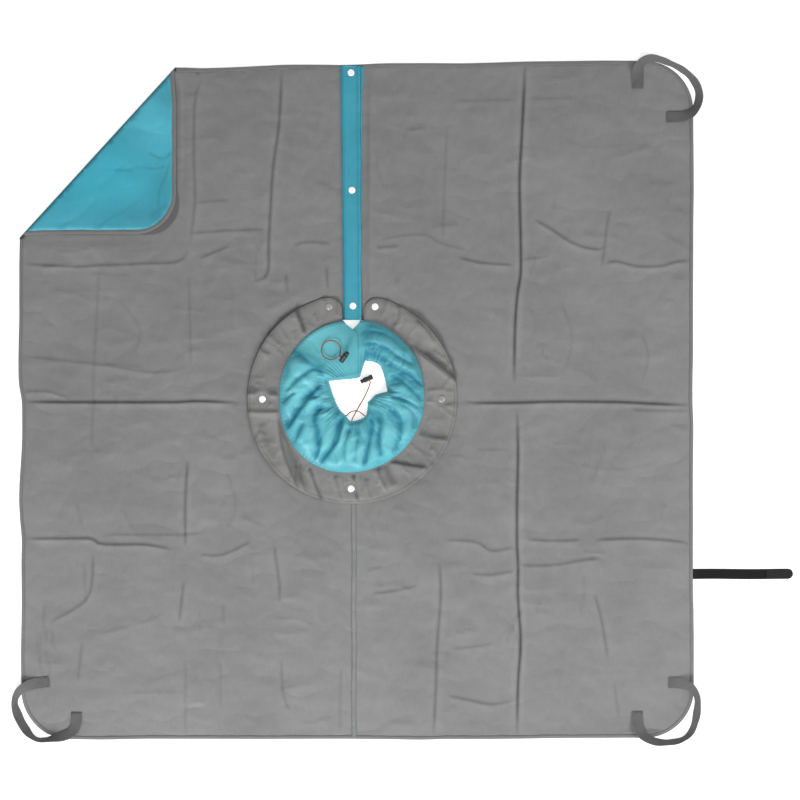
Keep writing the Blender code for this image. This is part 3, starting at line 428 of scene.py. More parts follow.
def add_finishes():
    """All finishes. A cloth has two colours that it varies between, its roughness, how much the painted
    shade of a crease darkens it, the weave's height in metres, and how crumpled it is."""
    coated_cloth("grey_cloth", (0.226, 0.226, 0.225), (0.201, 0.202, 0.202), 0.56, 0.66, 0.00007)
    coated_cloth("collar_cloth", (0.232, 0.229, 0.226), (0.205, 0.203, 0.201), 0.52, 0.62, 0.00007)
    coated_cloth("binding_cloth", (0.200, 0.200, 0.199), (0.180, 0.181, 0.181), 0.60, 0.65, 0.00006, 0.2)
    coated_cloth("turquoise_cloth", (0.082, 0.440, 0.560), (0.040, 0.320, 0.420), 0.42, 0.40, 0.00005, 0.55)
    coated_cloth("placket_cloth", (0.056, 0.360, 0.470), (0.042, 0.310, 0.410), 0.45, 0.30, 0.00005, 0.20)
    # Turquoise darkened as painted shade, for the fold line's edge
    coated_cloth("fold_line_shade", (0.022, 0.100, 0.120), (0.018, 0.085, 0.100), 0.50, 0.10, 0.00005, 0.2)
    nylon("turquoise_nylon", (0.080, 0.440, 0.550), (0.012, 0.215, 0.310), (0.165, 0.600, 0.660))
    webbing_finish("grey_webbing", (0.140, 0.140, 0.141))
    hook_tape_finish("black_tape", (0.0060, 0.0060, 0.0065), 0.0)
    hook_tape_finish("black_hook_tape", (0.013, 0.013, 0.014), 1.0)
    cord_finish("brown_cord", (0.340, 0.088, 0.026), (0.190, 0.055, 0.024))
    thread_finish("grey_thread", (0.090, 0.090, 0.092))
    thread_finish("seam_thread", (0.150, 0.235, 0.205))
    thread_finish("teal_thread", (0.020, 0.190, 0.260))
    thread_finish("black_thread", (0.060, 0.060, 0.062))
    solid_finish("snap_metal", (0.86, 0.86, 0.87), 0.42, 0.0016, metallic=1.0, shade=0.06)
    solid_finish("darker_snap_metal", (0.30, 0.29, 0.28), 0.45, 0.0016, metallic=1.0, shade=0.2)
    solid_finish("black_plastic", (0.014, 0.014, 0.015), 0.42, 0.0009, shade=0.3)
    solid_finish("spring_steel", (0.62, 0.62, 0.63), 0.28, 0.0012, metallic=1.0, shade=0.08, reach=0.00001)


add_finishes()


# Tools for making meshes

def add_piece(name, points, faces, finish, carrier, lay=None, crease=None):
    """Piece of world places that rides on a body, with its cloth places and crease strengths.

    It takes the name of the CAD node that it stands for, with _visible after it.
    """
    mesh = bpy.data.meshes.new(name)
    mesh.from_pydata(np.asarray(points, float).tolist(), [], [list(map(int, face)) for face in faces])
    mesh.validate()
    mesh.shade_smooth()
    piece = linked(name + "_visible" if name in bpy.data.objects else name, mesh)
    mesh.materials.append(finishes[finish].material)
    count = len(mesh.vertices)
    lay = np.asarray(points if lay is None else lay, float)
    if lay.shape[1] == 2:
        lay = level(lay)
    mesh.attributes.new("lay", "FLOAT_VECTOR", "POINT").data.foreach_set("vector", lay[:count].ravel())
    values = np.zeros(count) if crease is None else np.asarray(crease, float)
    mesh.attributes.new("crease", "FLOAT", "POINT").data.foreach_set("value", values)
    if carrier:
        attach(piece, carrier)
    return piece


def quads(rows, columns, closed=False, flip=False):
    """Faces of a grid of points that is given row by row."""
    last = columns if closed else columns - 1
    row, column = (part.ravel() for part in np.meshgrid(np.arange(rows - 1), np.arange(last), indexing="ij"))
    here, after = row * columns, (column + 1) % columns
    faces = np.column_stack((here + column, here + after, here + columns + after, here + columns + column))
    return faces[:, ::-1] if flip else faces


def grid_lay(along, across):
    """Places on the cloth of a grid's points, from the places of its rows and of its columns."""
    return np.stack(np.broadcast_arrays(along[:, None], across[None]), axis=2).reshape(-1, 2)


def face_up(piece, up=True):
    """Turns the faces over where the first of them looks the wrong way."""
    if (piece.data.polygons[0].normal.z > 0) != up:
        piece.data.flip_normals()


def slab(upper, lower):
    """Points and faces of the closed solid between two grids, whose rims are joined."""
    rows, columns = upper.shape[:2]
    count = rows * columns
    points = np.vstack((upper.reshape(-1, 3), lower.reshape(-1, 3)))
    faces = [quads(rows, columns), quads(rows, columns, flip=True) + count]
    rim = list(range(columns)) + [row * columns + columns - 1 for row in range(1, rows)]
    rim += [(rows - 1) * columns + column for column in range(columns - 2, -1, -1)]
    rim += [row * columns for row in range(rows - 2, 0, -1)]
    rim = np.array(rim)
    after = np.roll(rim, -1)
    faces.append(np.column_stack((after, rim, rim + count, after + count)))
    return points, np.vstack(faces)


def add_slab(name, flat, heights, shape, finish, carrier, crease=None, lay=None):
    """Closed piece between two layers of heights above the same level places, which form a grid."""
    points, faces = slab(*(raised(flat, height, shape) for height in heights))
    lay = flat if lay is None else lay
    return add_piece(name, points, faces, finish, carrier, np.vstack((lay, lay)), crease)


def side_normals(line):
    """Level directions to the right of a line's run, at each of its points."""
    way = np.gradient(line, axis=0)
    way /= np.linalg.norm(way, axis=1)[:, None]
    return np.column_stack((way[:, 1], -way[:, 0]))


def swept(path, section, across=None):
    """Grid of a section's points carried along a path. A section is pairs: to the side, upward."""
    path = np.asarray(path, float)
    way = np.gradient(path, axis=0)
    way /= np.linalg.norm(way, axis=1)[:, None]
    if across is None:
        across = np.empty_like(path)
        start = np.cross(way[0], (0, 0, 1))
        if np.linalg.norm(start) < 0.1:
            start = np.cross(way[0], (1, 0, 0))
        across[0] = start
        for place in range(1, len(path)):
            across[place] = across[place - 1] - way[place] * np.dot(across[place - 1], way[place])
            across[place] /= np.linalg.norm(across[place])
    across = across / np.linalg.norm(across, axis=1)[:, None]
    up = np.cross(across, way)
    section = np.asarray(section, float)
    if section.ndim == 2:
        section = np.broadcast_to(section, (len(path), *section.shape))
    return path[:, None] + across[:, None] * section[:, :, :1] + up[:, None] * section[:, :, 1:]


def capped(rows, columns):
    """Faces of a tube of rows whose ends are closed by flat faces."""
    faces = [list(face) for face in quads(rows, columns, closed=True)]
    faces.append(list(range(columns - 1, -1, -1)))
    faces.append(list(range((rows - 1) * columns, rows * columns)))
    return faces


def add_tube(name, path, radius, finish, carrier, sides, braid):
    """Round tube along a path, with the bumps of its braid as real relief."""
    braid_pitch, strands = 0.0034, 4
    along = lengths_along(path)
    turn = np.linspace(0, math.tau, sides, endpoint=False)
    grain = np.sin(math.tau * along / braid_pitch)[:, None] * np.sin(turn * strands)[None]
    scale = radius * (1 + braid * grain)
    section = np.stack((np.cos(turn)[None] * scale, np.sin(turn)[None] * scale), axis=2)
    grid = swept(path, section)
    lay = np.stack(np.broadcast_arrays(along[:, None], turn[None] * radius, 0 * turn[None]), axis=2)
    return add_piece(name, grid.reshape(-1, 3), capped(len(path), sides), finish, carrier, lay.reshape(-1, 3))


def add_turned(name, profile, place, finish, carrier, sides=32):
    """Piece turned round an upright line through a place, which stands for the CAD node of its name."""
    turn = np.linspace(0, math.tau, sides, endpoint=False)
    rings = [level(np.array(place) + around(turn, radius), height) for radius, height in profile]
    piece = add_piece(name, np.vstack(rings), capped(len(profile), sides), finish, carrier)
    piece.data.set_sharp_from_angle(angle=math.radians(42))
    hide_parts(name)


def add_stitches(name, lines, finish, carrier, pitch=0.0042, share=0.66, radius=0.00032):
    """Rows of thread stitches that dip into the cloth at both ends. Lines are world places."""
    points, faces, lay = [], [], []
    sides = stops = 5
    rises = np.array((-1.0, 0.35, 0.7, 0.35, -1.0)) * radius
    thick = radius * np.array((0.5, 1.0, 1.05, 1.0, 0.5))
    section = around(np.linspace(0, math.tau, sides, endpoint=False))
    for line in lines:
        line = np.asarray(line, float)
        along = lengths_along(line)
        total = along[-1]
        count = int(total / pitch)
        for number in range(count):
            start = (number + (1 - share) / 2) * total / count
            stations = start + np.linspace(0, share * total / count, stops)
            path = np.column_stack([np.interp(stations, along, column) for column in line.T])
            path[:, 2] += rises
            base = len(points) * stops * sides
            points.append(swept(path, section[None] * thick[:, None, None]).reshape(-1, 3))
            lay.append(grid_lay(stations, np.arange(sides) * radius))
            faces += [[base + corner for corner in face] for face in capped(stops, sides)]
    return add_piece(name, np.vstack(points), faces, finish, carrier, np.vstack(lay))


def distance_to(points, line):
    """Distance to a line in plan, share along it, and whether a point lies on its left."""
    best = np.full(len(points), np.inf)
    share = np.zeros(len(points))
    left = np.zeros(len(points), bool)
    along = lengths_along(line)
    for number, (start, end) in enumerate(zip(line, line[1:])):
        way = end - start
        offset = points - start
        t = np.clip(offset @ way / (way @ way), 0, 1)
        away = offset - t[:, None] * way
        distance = np.hypot(away[:, 0], away[:, 1])
        nearer = distance < best
        best = np.where(nearer, distance, best)
        share = np.where(nearer, mix(along[number], along[number + 1], t) / along[-1], share)
        left = np.where(nearer, way[0] * offset[:, 1] - way[1] * offset[:, 0] > 0, left)
    return best, share, left


class Folds:
    """Creases drawn as lines in plan.

    A stroke is its rise and its width in millimetres, how dark the painted shade along its core is,
    pixels of the photograph, and its width on the right of the run where the two sides differ.
    """

    # Share of its length over which a crease's end fades, and of a lower crease that adds to a higher one
    fade, crossing = 0.14, 0.35

    def __init__(self, strokes, pitch=0.007, core=0.0032, reach=4.0, falloff=1.3):
        self.core = core
        self.falloff = falloff
        self.reach = reach
        self.strokes = []
        for rise, width, dark, pixels, *other in strokes:
            line = paced(smoothed(spots(pixels), 6), pitch)
            self.strokes.append((rise * mm, width * mm, (other[0] if other else width) * mm, dark, line))

    def at(self, points):
        """Height and painted crease shade at level points."""
        points = np.asarray(points, float)[:, :2]
        height = np.zeros(len(points))
        crease_shade = np.zeros(len(points))
        for rise, left_width, right_width, dark, line in self.strokes:
            far = max(left_width, right_width) * self.reach
            low, high = line.min(axis=0) - far, line.max(axis=0) + far
            near = np.flatnonzero(np.all((points > low) & (points < high), axis=1))
            if not len(near):
                continue
            distance, share, left = distance_to(points[near], line)
            taper = smooth(share / self.fade) * smooth((1 - share) / self.fade)
            width = np.where(left, left_width, right_width)
            ridge = rise * taper * np.exp(-((distance / width) ** self.falloff))
            here = height[near]
            height[near] = np.maximum(here, ridge) + self.crossing * np.minimum(here, ridge)
            # Painted shade along each crease's core, with a slightly paler band beside it
            core = np.exp(-((distance / self.core) ** 2))
            core -= 0.16 * np.exp(-(((distance - 2.7 * self.core) / (1.2 * self.core)) ** 2))
            crease_shade[near] += dark * np.sqrt(taper) * core
        return height, np.clip(crease_shade, -0.35, 1.0)

    def guides(self, offsets):
        """Points beside each line, so that the mesh has rows along its creases."""
        rows = []
        for _, _, _, _, line in self.strokes:
            normal = side_normals(line)
            rows += [line + normal * offset for offset in offsets]
        return np.vstack(rows)


def inside(points, outline):
    """Which level points lie in a closed outline."""
    x, y = points[:, 0], points[:, 1]
    result = np.zeros(len(points), bool)
    for (x1, y1), (x2, y2) in zip(outline, np.roll(outline, -1, axis=0)):
        if y1 == y2:
            continue
        crossing = ((y1 > y) != (y2 > y)) & (x < (x2 - x1) * (y - y1) / (y2 - y1) + x1)
        result ^= crossing
    return result


def kept_apart(points, others, distance):
    """Those points that are at least a distance from the others, by cells of a fine grid."""
    taken = set()
    for cell in np.round(others / distance).astype(int).tolist():
        for dx in (-1, 0, 1):
            for dy in (-1, 0, 1):
                taken.add((cell[0] + dx, cell[1] + dy))
    cells = np.round(points / distance).astype(int).tolist()
    return points[np.array([tuple(cell) not in taken for cell in cells], bool)]


def thinned(points, distance):
    """One point for each cell of a fine grid."""
    cells = np.round(points / distance).astype(int)
    _, first = np.unique(cells, axis=0, return_index=True)
    return points[np.sort(first)]


def filled(outline, pitch, guides, margin=0.0035, guide_gap=0.0017):
    """Level triangles that fill an outline, with points on a grid and along the guides."""
    outline = np.asarray(outline, float)
    rim = np.vstack([paced(np.array((a, b)), pitch)[:-1] for a, b in zip(outline, np.roll(outline, -1, axis=0))])
    low, high = rim.min(axis=0) + pitch / 2, rim.max(axis=0)
    x, y = np.meshgrid(np.arange(low[0], high[0], pitch), np.arange(low[1], high[1], pitch))
    grid = np.column_stack((x.ravel(), y.ravel()))
    guides = thinned(guides[inside(guides, rim)], guide_gap)
    guides = kept_apart(guides, rim, margin)
    grid = np.vstack((kept_apart(grid, guides, pitch * 0.62), guides))
    grid = grid[inside(grid, rim)]
    grid = kept_apart(grid, rim, margin)
    every = np.vstack((rim, grid))
    loop = list(range(len(rim)))
    inside_only, tolerance = 1, 1e-6
    made = delaunay_2d_cdt([Vector(point) for point in every.tolist()], [], [loop], inside_only, tolerance)
    return np.array([tuple(point) for point in made[0]]), made[2]


def thickened(piece, thick, under=None):
    """Cloth thickness below the drawn surface, with the other face's finish."""
    layer = piece.modifiers.new("cloth", "SOLIDIFY")
    layer.thickness = thick
    layer.offset = -1.0
    layer.use_even_offset = False
    if under:
        piece.data.materials.append(finishes[under].material)
        layer.material_offset = 1


mat_folds = Folds((
    (1.6, 8, 0.30, ((201.5, 75.5), (195, 101), (194, 152), (195, 203), (190, 244))),
    (0.9, 8, 0.15, ((189, 274), (191, 369))),
    (2.2, 7, 0.45, ((188, 460), (185.5, 501), (185.5, 547))),
    (1.6, 7, 0.30, ((184, 581), (179.5, 622))),
    (0.9, 8, 0.15, ((185.5, 659), (185.5, 736))),
    (2.4, 7, 0.50, ((282, 70), (279, 126), (273, 172), (269, 241), (268, 272), (257.6, 281), (247.5, 282))),
    (1.5, 7, 0.30, ((326.5, 267), (328, 290))),
    (1.0, 6, 0.20, ((285.7, 274.5), (288, 295))),
    (1.6, 7, 0.30, ((274, 545), (279, 581), (280, 603))),
    (0.9, 7, 0.20, ((281, 659), (283.6, 695), (291, 712))),
    (0.8, 8, 0.15, ((341, 668), (339.6, 731.5))),
    (1.9, 8, 0.40, ((439.4, 559), (440.6, 598), (437, 646.6), (435.7, 690), (433.3, 736))),
    (1.0, 9, 0.15, ((447, 128), (444.7, 184), (442.5, 244))),
    (3.0, 8, 0.85, (
        (525, 66), (524, 94.6), (521.7, 139), (519.5, 184), (520.6, 240), (520.6, 273), (517.3, 295.5), (515, 329),
        (514, 385),
    )),
    (2.8, 8, 0.80, (
        (517, 409), (518, 452.7), (517, 501), (517, 545), (518, 564), (518, 598), (520.6, 642), (518, 683),
        (517, 736),
    )),
    (1.6, 9, 0.25, ((610, 211), (606.6, 228.6), (604.3, 251), (601, 269))),
    (1.4, 7, 0.30, ((594.5, 593), (601.8, 622), (607.8, 659))),
    (0.9, 7, 0.15, ((614, 683), (618.7, 719))),
    (0.9, 9, 0.15, ((99.5, 267), (93, 404), (91, 453))),
    (1.7, 7, 0.30, ((93.3, 554.5), (92, 581), (87.3, 598), (72.7, 610), (50, 622))),
    (0.9, 6, 0.20, ((82.4, 642), (77.6, 683))),
    (1.9, 7, 0.40, ((24, 264), (71.4, 267), (102, 265.6), (143, 264), (178.6, 261.7), (188.8, 249))),
    (1.5, 6, 0.35, ((199, 259), (229.6, 246.4))),
    (1.2, 5, 0.30, ((188.8, 233.7), (229.6, 231), (265.3, 229.8))),
    (0.9, 5, 0.20, ((196, 203), (229.6, 200.5))),
    (1.5, 7, 0.30, ((293.4, 246.4), (306, 242.6), (332, 244))),
    (1.5, 6, 0.35, ((376, 248), (400, 246.4))),
    (1.2, 7, 0.20, ((380, 239.7), (402, 236.4), (424.6, 235.3), (442.5, 244), (469.3, 251))),
    (2.0, 6, 0.45, ((458, 257.6), (480.4, 263), (514, 265.4))),
    (1.0, 7, 0.20, ((523, 259.8), (549.6, 256.5))),
    (2.0, 6, 0.45, ((534, 219.6), (549.6, 228.6), (574, 244), (596.5, 249.8), (605.4, 246.4))),
    (2.0, 7, 0.45, ((603, 264), (616.6, 262), (636.7, 266.5), (659, 266.5), (677, 262), (690.3, 261))),
    (2.8, 6, 0.90, ((22, 401.8), (72.7, 402.3), (169.7, 402.3), (198.8, 401.3), (240, 403)), 9),
    (1.8, 7, 0.30, ((24, 392), (48, 392), (71, 399))),
    (2.7, 6, 0.85, ((462, 403), (509.7, 403), (558, 401.8), (618.7, 402.3), (655, 404), (691.4, 405.4)), 9),
    (1.8, 10, 0.25, ((631, 410), (660, 411), (690, 411))),
    (2.2, 6, 0.60, (
        (24, 538.8), (60.6, 538.8), (89.7, 538.8), (99.4, 543.6), (116, 544.8), (145.5, 544.8), (174.5, 549.7),
    )),
    (1.1, 5, 0.25, ((102, 535), (184, 535), (206, 531.5))),
    (1.6, 6, 0.35, ((198.8, 554.5), (218, 555.8), (232.7, 551), (252, 541))),
    (1.6, 6, 0.35, ((444, 540), (475.7, 542.4), (492, 551), (514.5, 547))),
    (1.8, 6, 0.40, ((526.6, 540), (558, 541), (582, 540))),
    (2.0, 6, 0.50, ((594.5, 540), (630.8, 538.7), (662.3, 540), (691.4, 543.6))),
    (1.6, 6, 0.35, ((519.3, 564), (534, 566), (558, 564.7), (582, 560.6), (601.8, 558))),
    (0.9, 6, 0.20, ((582, 551.6), (606.6, 553))),
    (1.4, 7, 0.30, ((372, 593), (388.5, 592), (417.6, 586))),
    (0.9, 6, 0.20, ((366, 571.5), (383.6, 566.6))),
    (1.6, 6, 0.35, ((446.6, 695), (471, 700), (490, 703.6), (512, 701))),
    (0.9, 7, 0.20, ((451.5, 649), (475.7, 646.6), (495, 643))),
    (1.4, 6, 0.30, ((471, 574), (490, 575), (514.5, 571.5))),
    (0.9, 6, 0.15, ((475.7, 450), (509.7, 450))),
    (0.8, 4, 0.15, ((451.4, 103), (516, 103.6))),
    (0.7, 4, 0.15, ((531.8, 103), (574, 102.5))),
    (1.6, 9, 0.25, ((22, 356), (102, 365), (153, 372.7), (183.7, 369))),
    (1.6, 18, 0.0, ((36, 452), (55, 460), (73, 470))),
    (0.9, 8, 0.10, ((97, 634.5), (145.5, 622), (165, 612.7))),
    (1.0, 9, 0.12, ((640, 330), (648, 356), (642, 384))),
    (1.0, 10, 0.10, ((560, 300), (572, 336), (566, 372))),
    (0.8, 9, 0.10, ((120, 300), (140, 330), (134, 356))),
    (0.8, 9, 0.10, ((226, 470), (236, 505), (228, 530))),
    (0.9, 12, 0.05, ((560, 140), (590, 150), (640, 146))),
    (0.9, 12, 0.05, ((380, 120), (410, 132), (436, 128))),
    (0.8, 10, 0.08, ((130, 470), (160, 480), (176, 474))),
    (0.8, 10, 0.08, ((560, 460), (610, 470), (660, 462))),
))


# The cloth stands a little proud along the placket's free side, and has three long soft painted shadows: two along
# the turned corner's edges, one by the lower right corner
placket_ridge_and_shadows = Folds((
    (3.4, 10, 0.25, ((369.5, 74), (369, 110), (368.5, 160), (367.5, 210), (367, 260), (368, 306)), 4),
    (0, 5, 0.9, ((177.4, 74), (177.6, 100), (177.4, 140), (177.2, 170), (176.6, 196))),
    (0, 5, 0.5, ((140, 234.5), (110, 234.5), (80, 234.5), (52, 235))),
    (0, 11, 0.34, ((604, 732), (620, 732), (640, 730), (664, 731))),
), falloff=1.6)


def scattered_wrinkles(count=230):
    """Short wrinkles all over the cloth, most of them across the mat."""
    chance = np.random.default_rng(11)
    strokes = []
    for _ in range(count):
        x, y = chance.uniform(30, 685), chance.uniform(78, 728)
        turn = math.radians(chance.normal(0, 11) + (90 if chance.random() < 0.22 else 0))
        half, bow = chance.uniform(6, 26), chance.normal(0, 2.2)
        way = np.array((math.cos(turn), math.sin(turn)))
        side = np.array((-way[1], way[0]))
        middle = np.array((x, y))
        pixels = [tuple(middle + way * half * t + side * bow * (1 - t * t)) for t in (-1.0, -0.33, 0.33, 1.0)]
        rise, left, dark = chance.uniform(0.5, 1.7), chance.uniform(4, 11), chance.uniform(0.0, 0.22)
        strokes.append((rise, left, dark, pixels, chance.uniform(4, 11)))
    return strokes


def outward_line(chance, middle, turns, spread, starts, bow, reaches):
    """Pixels of a short bowed line that runs out from a middle, with its draws always in one order."""
    turn = math.radians(chance.uniform(*turns))
    lean = turn + math.radians(chance.normal(0, spread))
    start = middle + np.array((math.cos(turn), -math.sin(turn))) * chance.uniform(*starts)
    way = np.array((math.cos(lean), -math.sin(lean)))
    side = np.array((-way[1], way[0])) * chance.normal(0, bow)
    reach = chance.uniform(*reaches)
    return [tuple(start + way * reach * t + side * math.sin(math.pi * t)) for t in (0.0, 0.35, 0.7, 1.0)]


mat_wrinkles = Folds(scattered_wrinkles(), pitch=0.011, reach=2.6, falloff=1.6)


def from_middle(points):
    """Distance from the middle of the stem opening."""
    return np.hypot(points[:, 0] - hole[0], points[:, 1] - hole[1])


def calm(points):
    """0 where the mat lies flat under its fittings, 1 where its creases show in full."""
    x, y = points[:, 0], points[:, 1]
    # Under the collar, under the placket's strip, under the turned corner, and by the handles
    ring = smooth((from_middle(points) - 0.240) / 0.030)
    beside = np.maximum((slit_x - 0.014) - x, x - (slit_x + 0.048))
    strip = np.where(y > hole[1], smooth(beside / 0.022), 1.0)
    flap = smooth(np.maximum(x - (flap_right + 0.010), (flap_bottom - 0.010) - y) / 0.022)
    corners = np.ones(len(points))
    least = 0.25
    for corner in ((right_edge, top_edge), (right_edge, bottom_edge), (left_edge, bottom_edge)):
        away = np.hypot(x - corner[0], y - corner[1])
        corners = np.minimum(corners, least + (1 - least) * smooth((away - 0.13) / 0.06))
    return ring * strip * flap * corners


def waves(points, table):
    """Soft swells: amplitude in millimetres, direction in degrees, wavelength and shift in metres."""
    total = np.zeros(len(points))
    x, y = points[:, 0], points[:, 1]
    for amplitude, direction, length, shift in table:
        turn = math.radians(direction)
        along = x * math.cos(turn) + y * math.sin(turn)
        bend = 0.35 * np.sin((y * math.cos(turn) - x * math.sin(turn)) * math.tau / (length * 1.7))
        total += amplitude * mm * 0.5 * (1 + np.sin(math.tau * (along + shift) / length + bend))
    return total


mat_swells = (
    (1.1, 8, 0.37, 0.05), (0.9, 97, 0.29, 0.11), (0.7, 52, 0.21, 0.02), (0.55, 128, 0.17, 0.07),
    (0.40, 84, 0.095, 0.03), (0.30, 14, 0.083, 0.01), (0.16, 95, 0.041, 0.0), (0.12, 68, 0.029, 0.01),
    (0.09, 20, 0.024, 0.02),
)


def cloth_height(points):
    """Rise of the laid mat's cloth above the ground, and its painted shade in creases, wrinkles and long shadows.
    """
    points = np.asarray(points, float)[:, :2]
    folds, crease_shade = mat_folds.at(points)
    wrinkles, painted_shade = mat_wrinkles.at(points)
    quiet = calm(points)
    softer = 0.8
    height = folds * softer + wrinkles + waves(points, mat_swells) * softer
    # The ridge beside the placket, and painted shadows along the turned corner and by the lower right corner
    beside, shaded = placket_ridge_and_shadows.at(points)
    painted_shade = (crease_shade * 1.4 + painted_shade) * smooth(quiet * 1.6) + shaded
    return height * quiet + beside, np.clip(painted_shade, -0.35, 1.2)


# How far each edge lies off true: place along it in metres, and millimetres up or to the right
top_drift = (
    (-0.56, -9.0), (-0.44, -6.0), (-0.37, -3.6), (-0.26, 2.0), (-0.21, 2.2), (-0.125, 1.4), (-0.036, 5.2),
    (0.053, 5.6), (0.143, 5.0), (0.19, 6.2), (0.28, 9.2), (0.37, 10.2), (0.46, 11.3), (0.62, 10.4),
)
low_drift = (
    (-0.76, -3.0), (-0.70, -4.0), (-0.66, -4.2), (-0.62, -3.4), (-0.57, -2.3), (-0.44, -2.6), (-0.30, -2.9),
    (-0.21, -2.6), (-0.127, -2.3), (-0.038, -3.2), (0.02, -4.2), (0.053, -4.6), (0.096, -3.1), (0.19, -3.0),
    (0.275, -2.1), (0.364, -0.8), (0.50, -0.2),
)
left_drift = (
    (-0.622, 1.0), (-0.577, 0.2), (-0.532, 0.7), (-0.487, 1.8), (-0.443, 2.2), (-0.398, 1.9), (-0.353, 1.4),
    (-0.318, 2.6), (-0.300, 2.2), (-0.264, -1.7), (-0.219, -4.0), (-0.175, -2.6), (-0.130, 0.8), (-0.085, 3.2),
    (-0.041, 3.2), (0.002, 2.9), (0.040, -4.9), (0.093, -5.3), (0.138, -4.6), (0.182, -3.1), (0.227, -3.5),
    (0.272, -3.4), (0.316, -3.6), (0.361, -5.3),
)
right_drift = (
    (-0.62, 2.0), (-0.53, 2.0), (-0.46, 1.2), (-0.43, 0.1), (-0.34, 0.1), (-0.26, 0.2), (-0.175, -0.2),
    (-0.085, 1.0), (-0.04, 1.0), (-0.01, -1.0), (0.06, -1.0), (0.10, 0.4), (0.27, 0.4), (0.40, 0.9), (0.46, 1.9),
    (0.51, 1.9), (0.60, 0.9),
)


def off_true(place, table):
    """An edge's drift at places along it, softened over a few centimetres."""
    at, shift = zip(*table)
    shift = np.array(shift) * mm
    return sum(np.interp(place + step, at, shift) for step in (-0.012, 0.0, 0.012)) / 3


def drifted(points):
    """The laid mat's edges as the photograph shows them, a few millimetres off true."""
    points = np.array(points, float)
    true = points[:, :2].copy()
    x, y = true.T
    # Each edge's drift fades towards the middle, and none moves the fold line
    top, low = smooth((y - 0.42) / 0.33), smooth((-0.60 - y) / 0.14)
    left, right = smooth((-0.62 - x) / 0.20), smooth((x - 0.45) / 0.19)
    points[:, 1] = y + top * off_true(x, top_drift) + low * off_true(x, low_drift)
    points[:, 0] = x + left * off_true(y, left_drift) + right * off_true(y, right_drift)
    by_fold = 1 - smooth(np.abs((true - fold_low) @ fold_inward) / 0.05)
    across = (points[:, :2] - true) @ fold_inward
    points[:, :2] -= fold_inward * (across * by_fold)[:, None]
    return points


def before_drift(line):
    """Where a place that was read from the photograph lies on the mat before its edges drift."""
    line = np.asarray(line, float)[:, :2]
    guess = line
    for _ in range(2):
        guess = line - (drifted(level(guess))[:, :2] - guess)
    return guess


def on_cloth(line, lift):
    """World places on the mat's cloth, a little above its top."""
    line = np.asarray(line, float)[:, :2]
    height, _ = cloth_height(line)
    return drifted(level(line, height + sheet_thick + lift))


def corner_line(x_sign, y_sign, steps=14):
    """Rounded corner of the mat, walked clockwise as seen from above."""
    middle = np.array((sheet_x + x_sign * (half_side - corner_round), y_sign * (half_side - corner_round)))
    start = {(1, 1): 90, (1, -1): 0, (-1, -1): -90}[(x_sign, y_sign)]
    return middle + around(np.radians(np.linspace(start, start - 90, steps)), corner_round)


def on_fold(x=None, y=None):
    """Place on the mat's side of the fold line at one x or one y."""
    base = fold_low + fold_inward * (hinge_gap / 2)
    along = (x - base[0]) / fold_along[0] if x is not None else (y - base[1]) / fold_along[1]
    return base + fold_along * along


def opening_line(start, end, radius=hole_radius, steps=72):
    """Arc round the stem opening, between two angles in degrees."""
    return hole + around(np.radians(np.linspace(start, end, steps)), radius)


def opening_angle(x, upper=True):
    """Angle in degrees at which the opening's edge has this x."""
    angle = math.degrees(math.acos((x - hole[0]) / hole_radius))
    return angle if upper else -angle


def panel_outlines():
    """Outlines of the two panels, with the slit and the seam as narrow gaps between them."""
    slit_left, slit_right = slit_x - hinge_gap / 2, slit_x + hinge_gap / 2
    seam_left, seam_right = seam_x - hinge_gap / 2, seam_x + hinge_gap / 2
    left = np.vstack((
        (slit_left, top_edge), opening_line(opening_angle(slit_left), 360 + opening_angle(seam_left, False)),
        (seam_left, bottom_edge), corner_line(-1, -1), on_fold(x=left_edge), on_fold(y=top_edge),
    ))
    right = np.vstack((
        (slit_right, top_edge), corner_line(1, 1), corner_line(1, -1), (seam_right, bottom_edge),
        opening_line(opening_angle(seam_right, False), opening_angle(slit_right)),
    ))
    return left, right


def add_panels():
    """The two panels of the mat's cloth, their rows of points finer along the creases."""
    beside_crease = (-0.0095, -0.0055, -0.0022, 0.0, 0.0022, 0.0055, 0.0095)
    guides = mat_folds.guides(beside_crease)
    pitch = 0.0066
    for side, outline in zip(("left", "right"), panel_outlines()):
        points, faces = filled(outline, pitch, guides)
        height, crease_shade = cloth_height(points)
        placed = drifted(level(points, height + sheet_thick))
        name = "mat_cloth_" + side
        piece = add_piece(name, placed, faces, "grey_cloth", "mat", points, crease_shade)
        face_up(piece)
        thickened(piece, cloth_skin, "turquoise_cloth")
        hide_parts("mat_panel_" + side)


# Fold-over binding, tape and thread at the mat's edges

# From the band's upper edge round to its lower one: how far inside the mat's edge, how high above its cloth
binding_section = (
    (0.0080, 0.00012), (0.0077, 0.00062), (0.0040, 0.00070), (0.0012, 0.00066), (0.0002, 0.00036),
    (-0.0004, -0.00030), (0.0000, -0.00105), (0.0012, -0.00118), (0.0060, -0.00118),
)


def bound_edge(name, line, section=binding_section, lift=on_cloth, carrier="mat"):
    """Band folded round an edge. The cloth is on the right of the line's run."""
    line = paced(line, 0.007)
    normal = side_normals(line)
    along = lengths_along(line)
    wobble = 0.0004 * np.sin(along * 61.0) + 0.0003 * np.sin(along * 143.0)
    rows = []
    for inset, rise in section:
        side = line + normal * (inset + wobble * (inset > 0.006))[:, None]
        rows.append(lift(side, rise))
    grid = np.stack(rows, axis=1)
    lay = grid_lay(along, np.arange(len(section)) * 0.002)
    # Painted shade along both edges of the band
    crease = np.broadcast_to(np.array([0.5] + [0.0] * (len(section) - 2) + [0.4]), grid.shape[:2]).ravel()
    faces = quads(*grid.shape[:2])
    return add_piece(name, grid.reshape(-1, 3), faces, "binding_cloth", carrier, lay, crease)


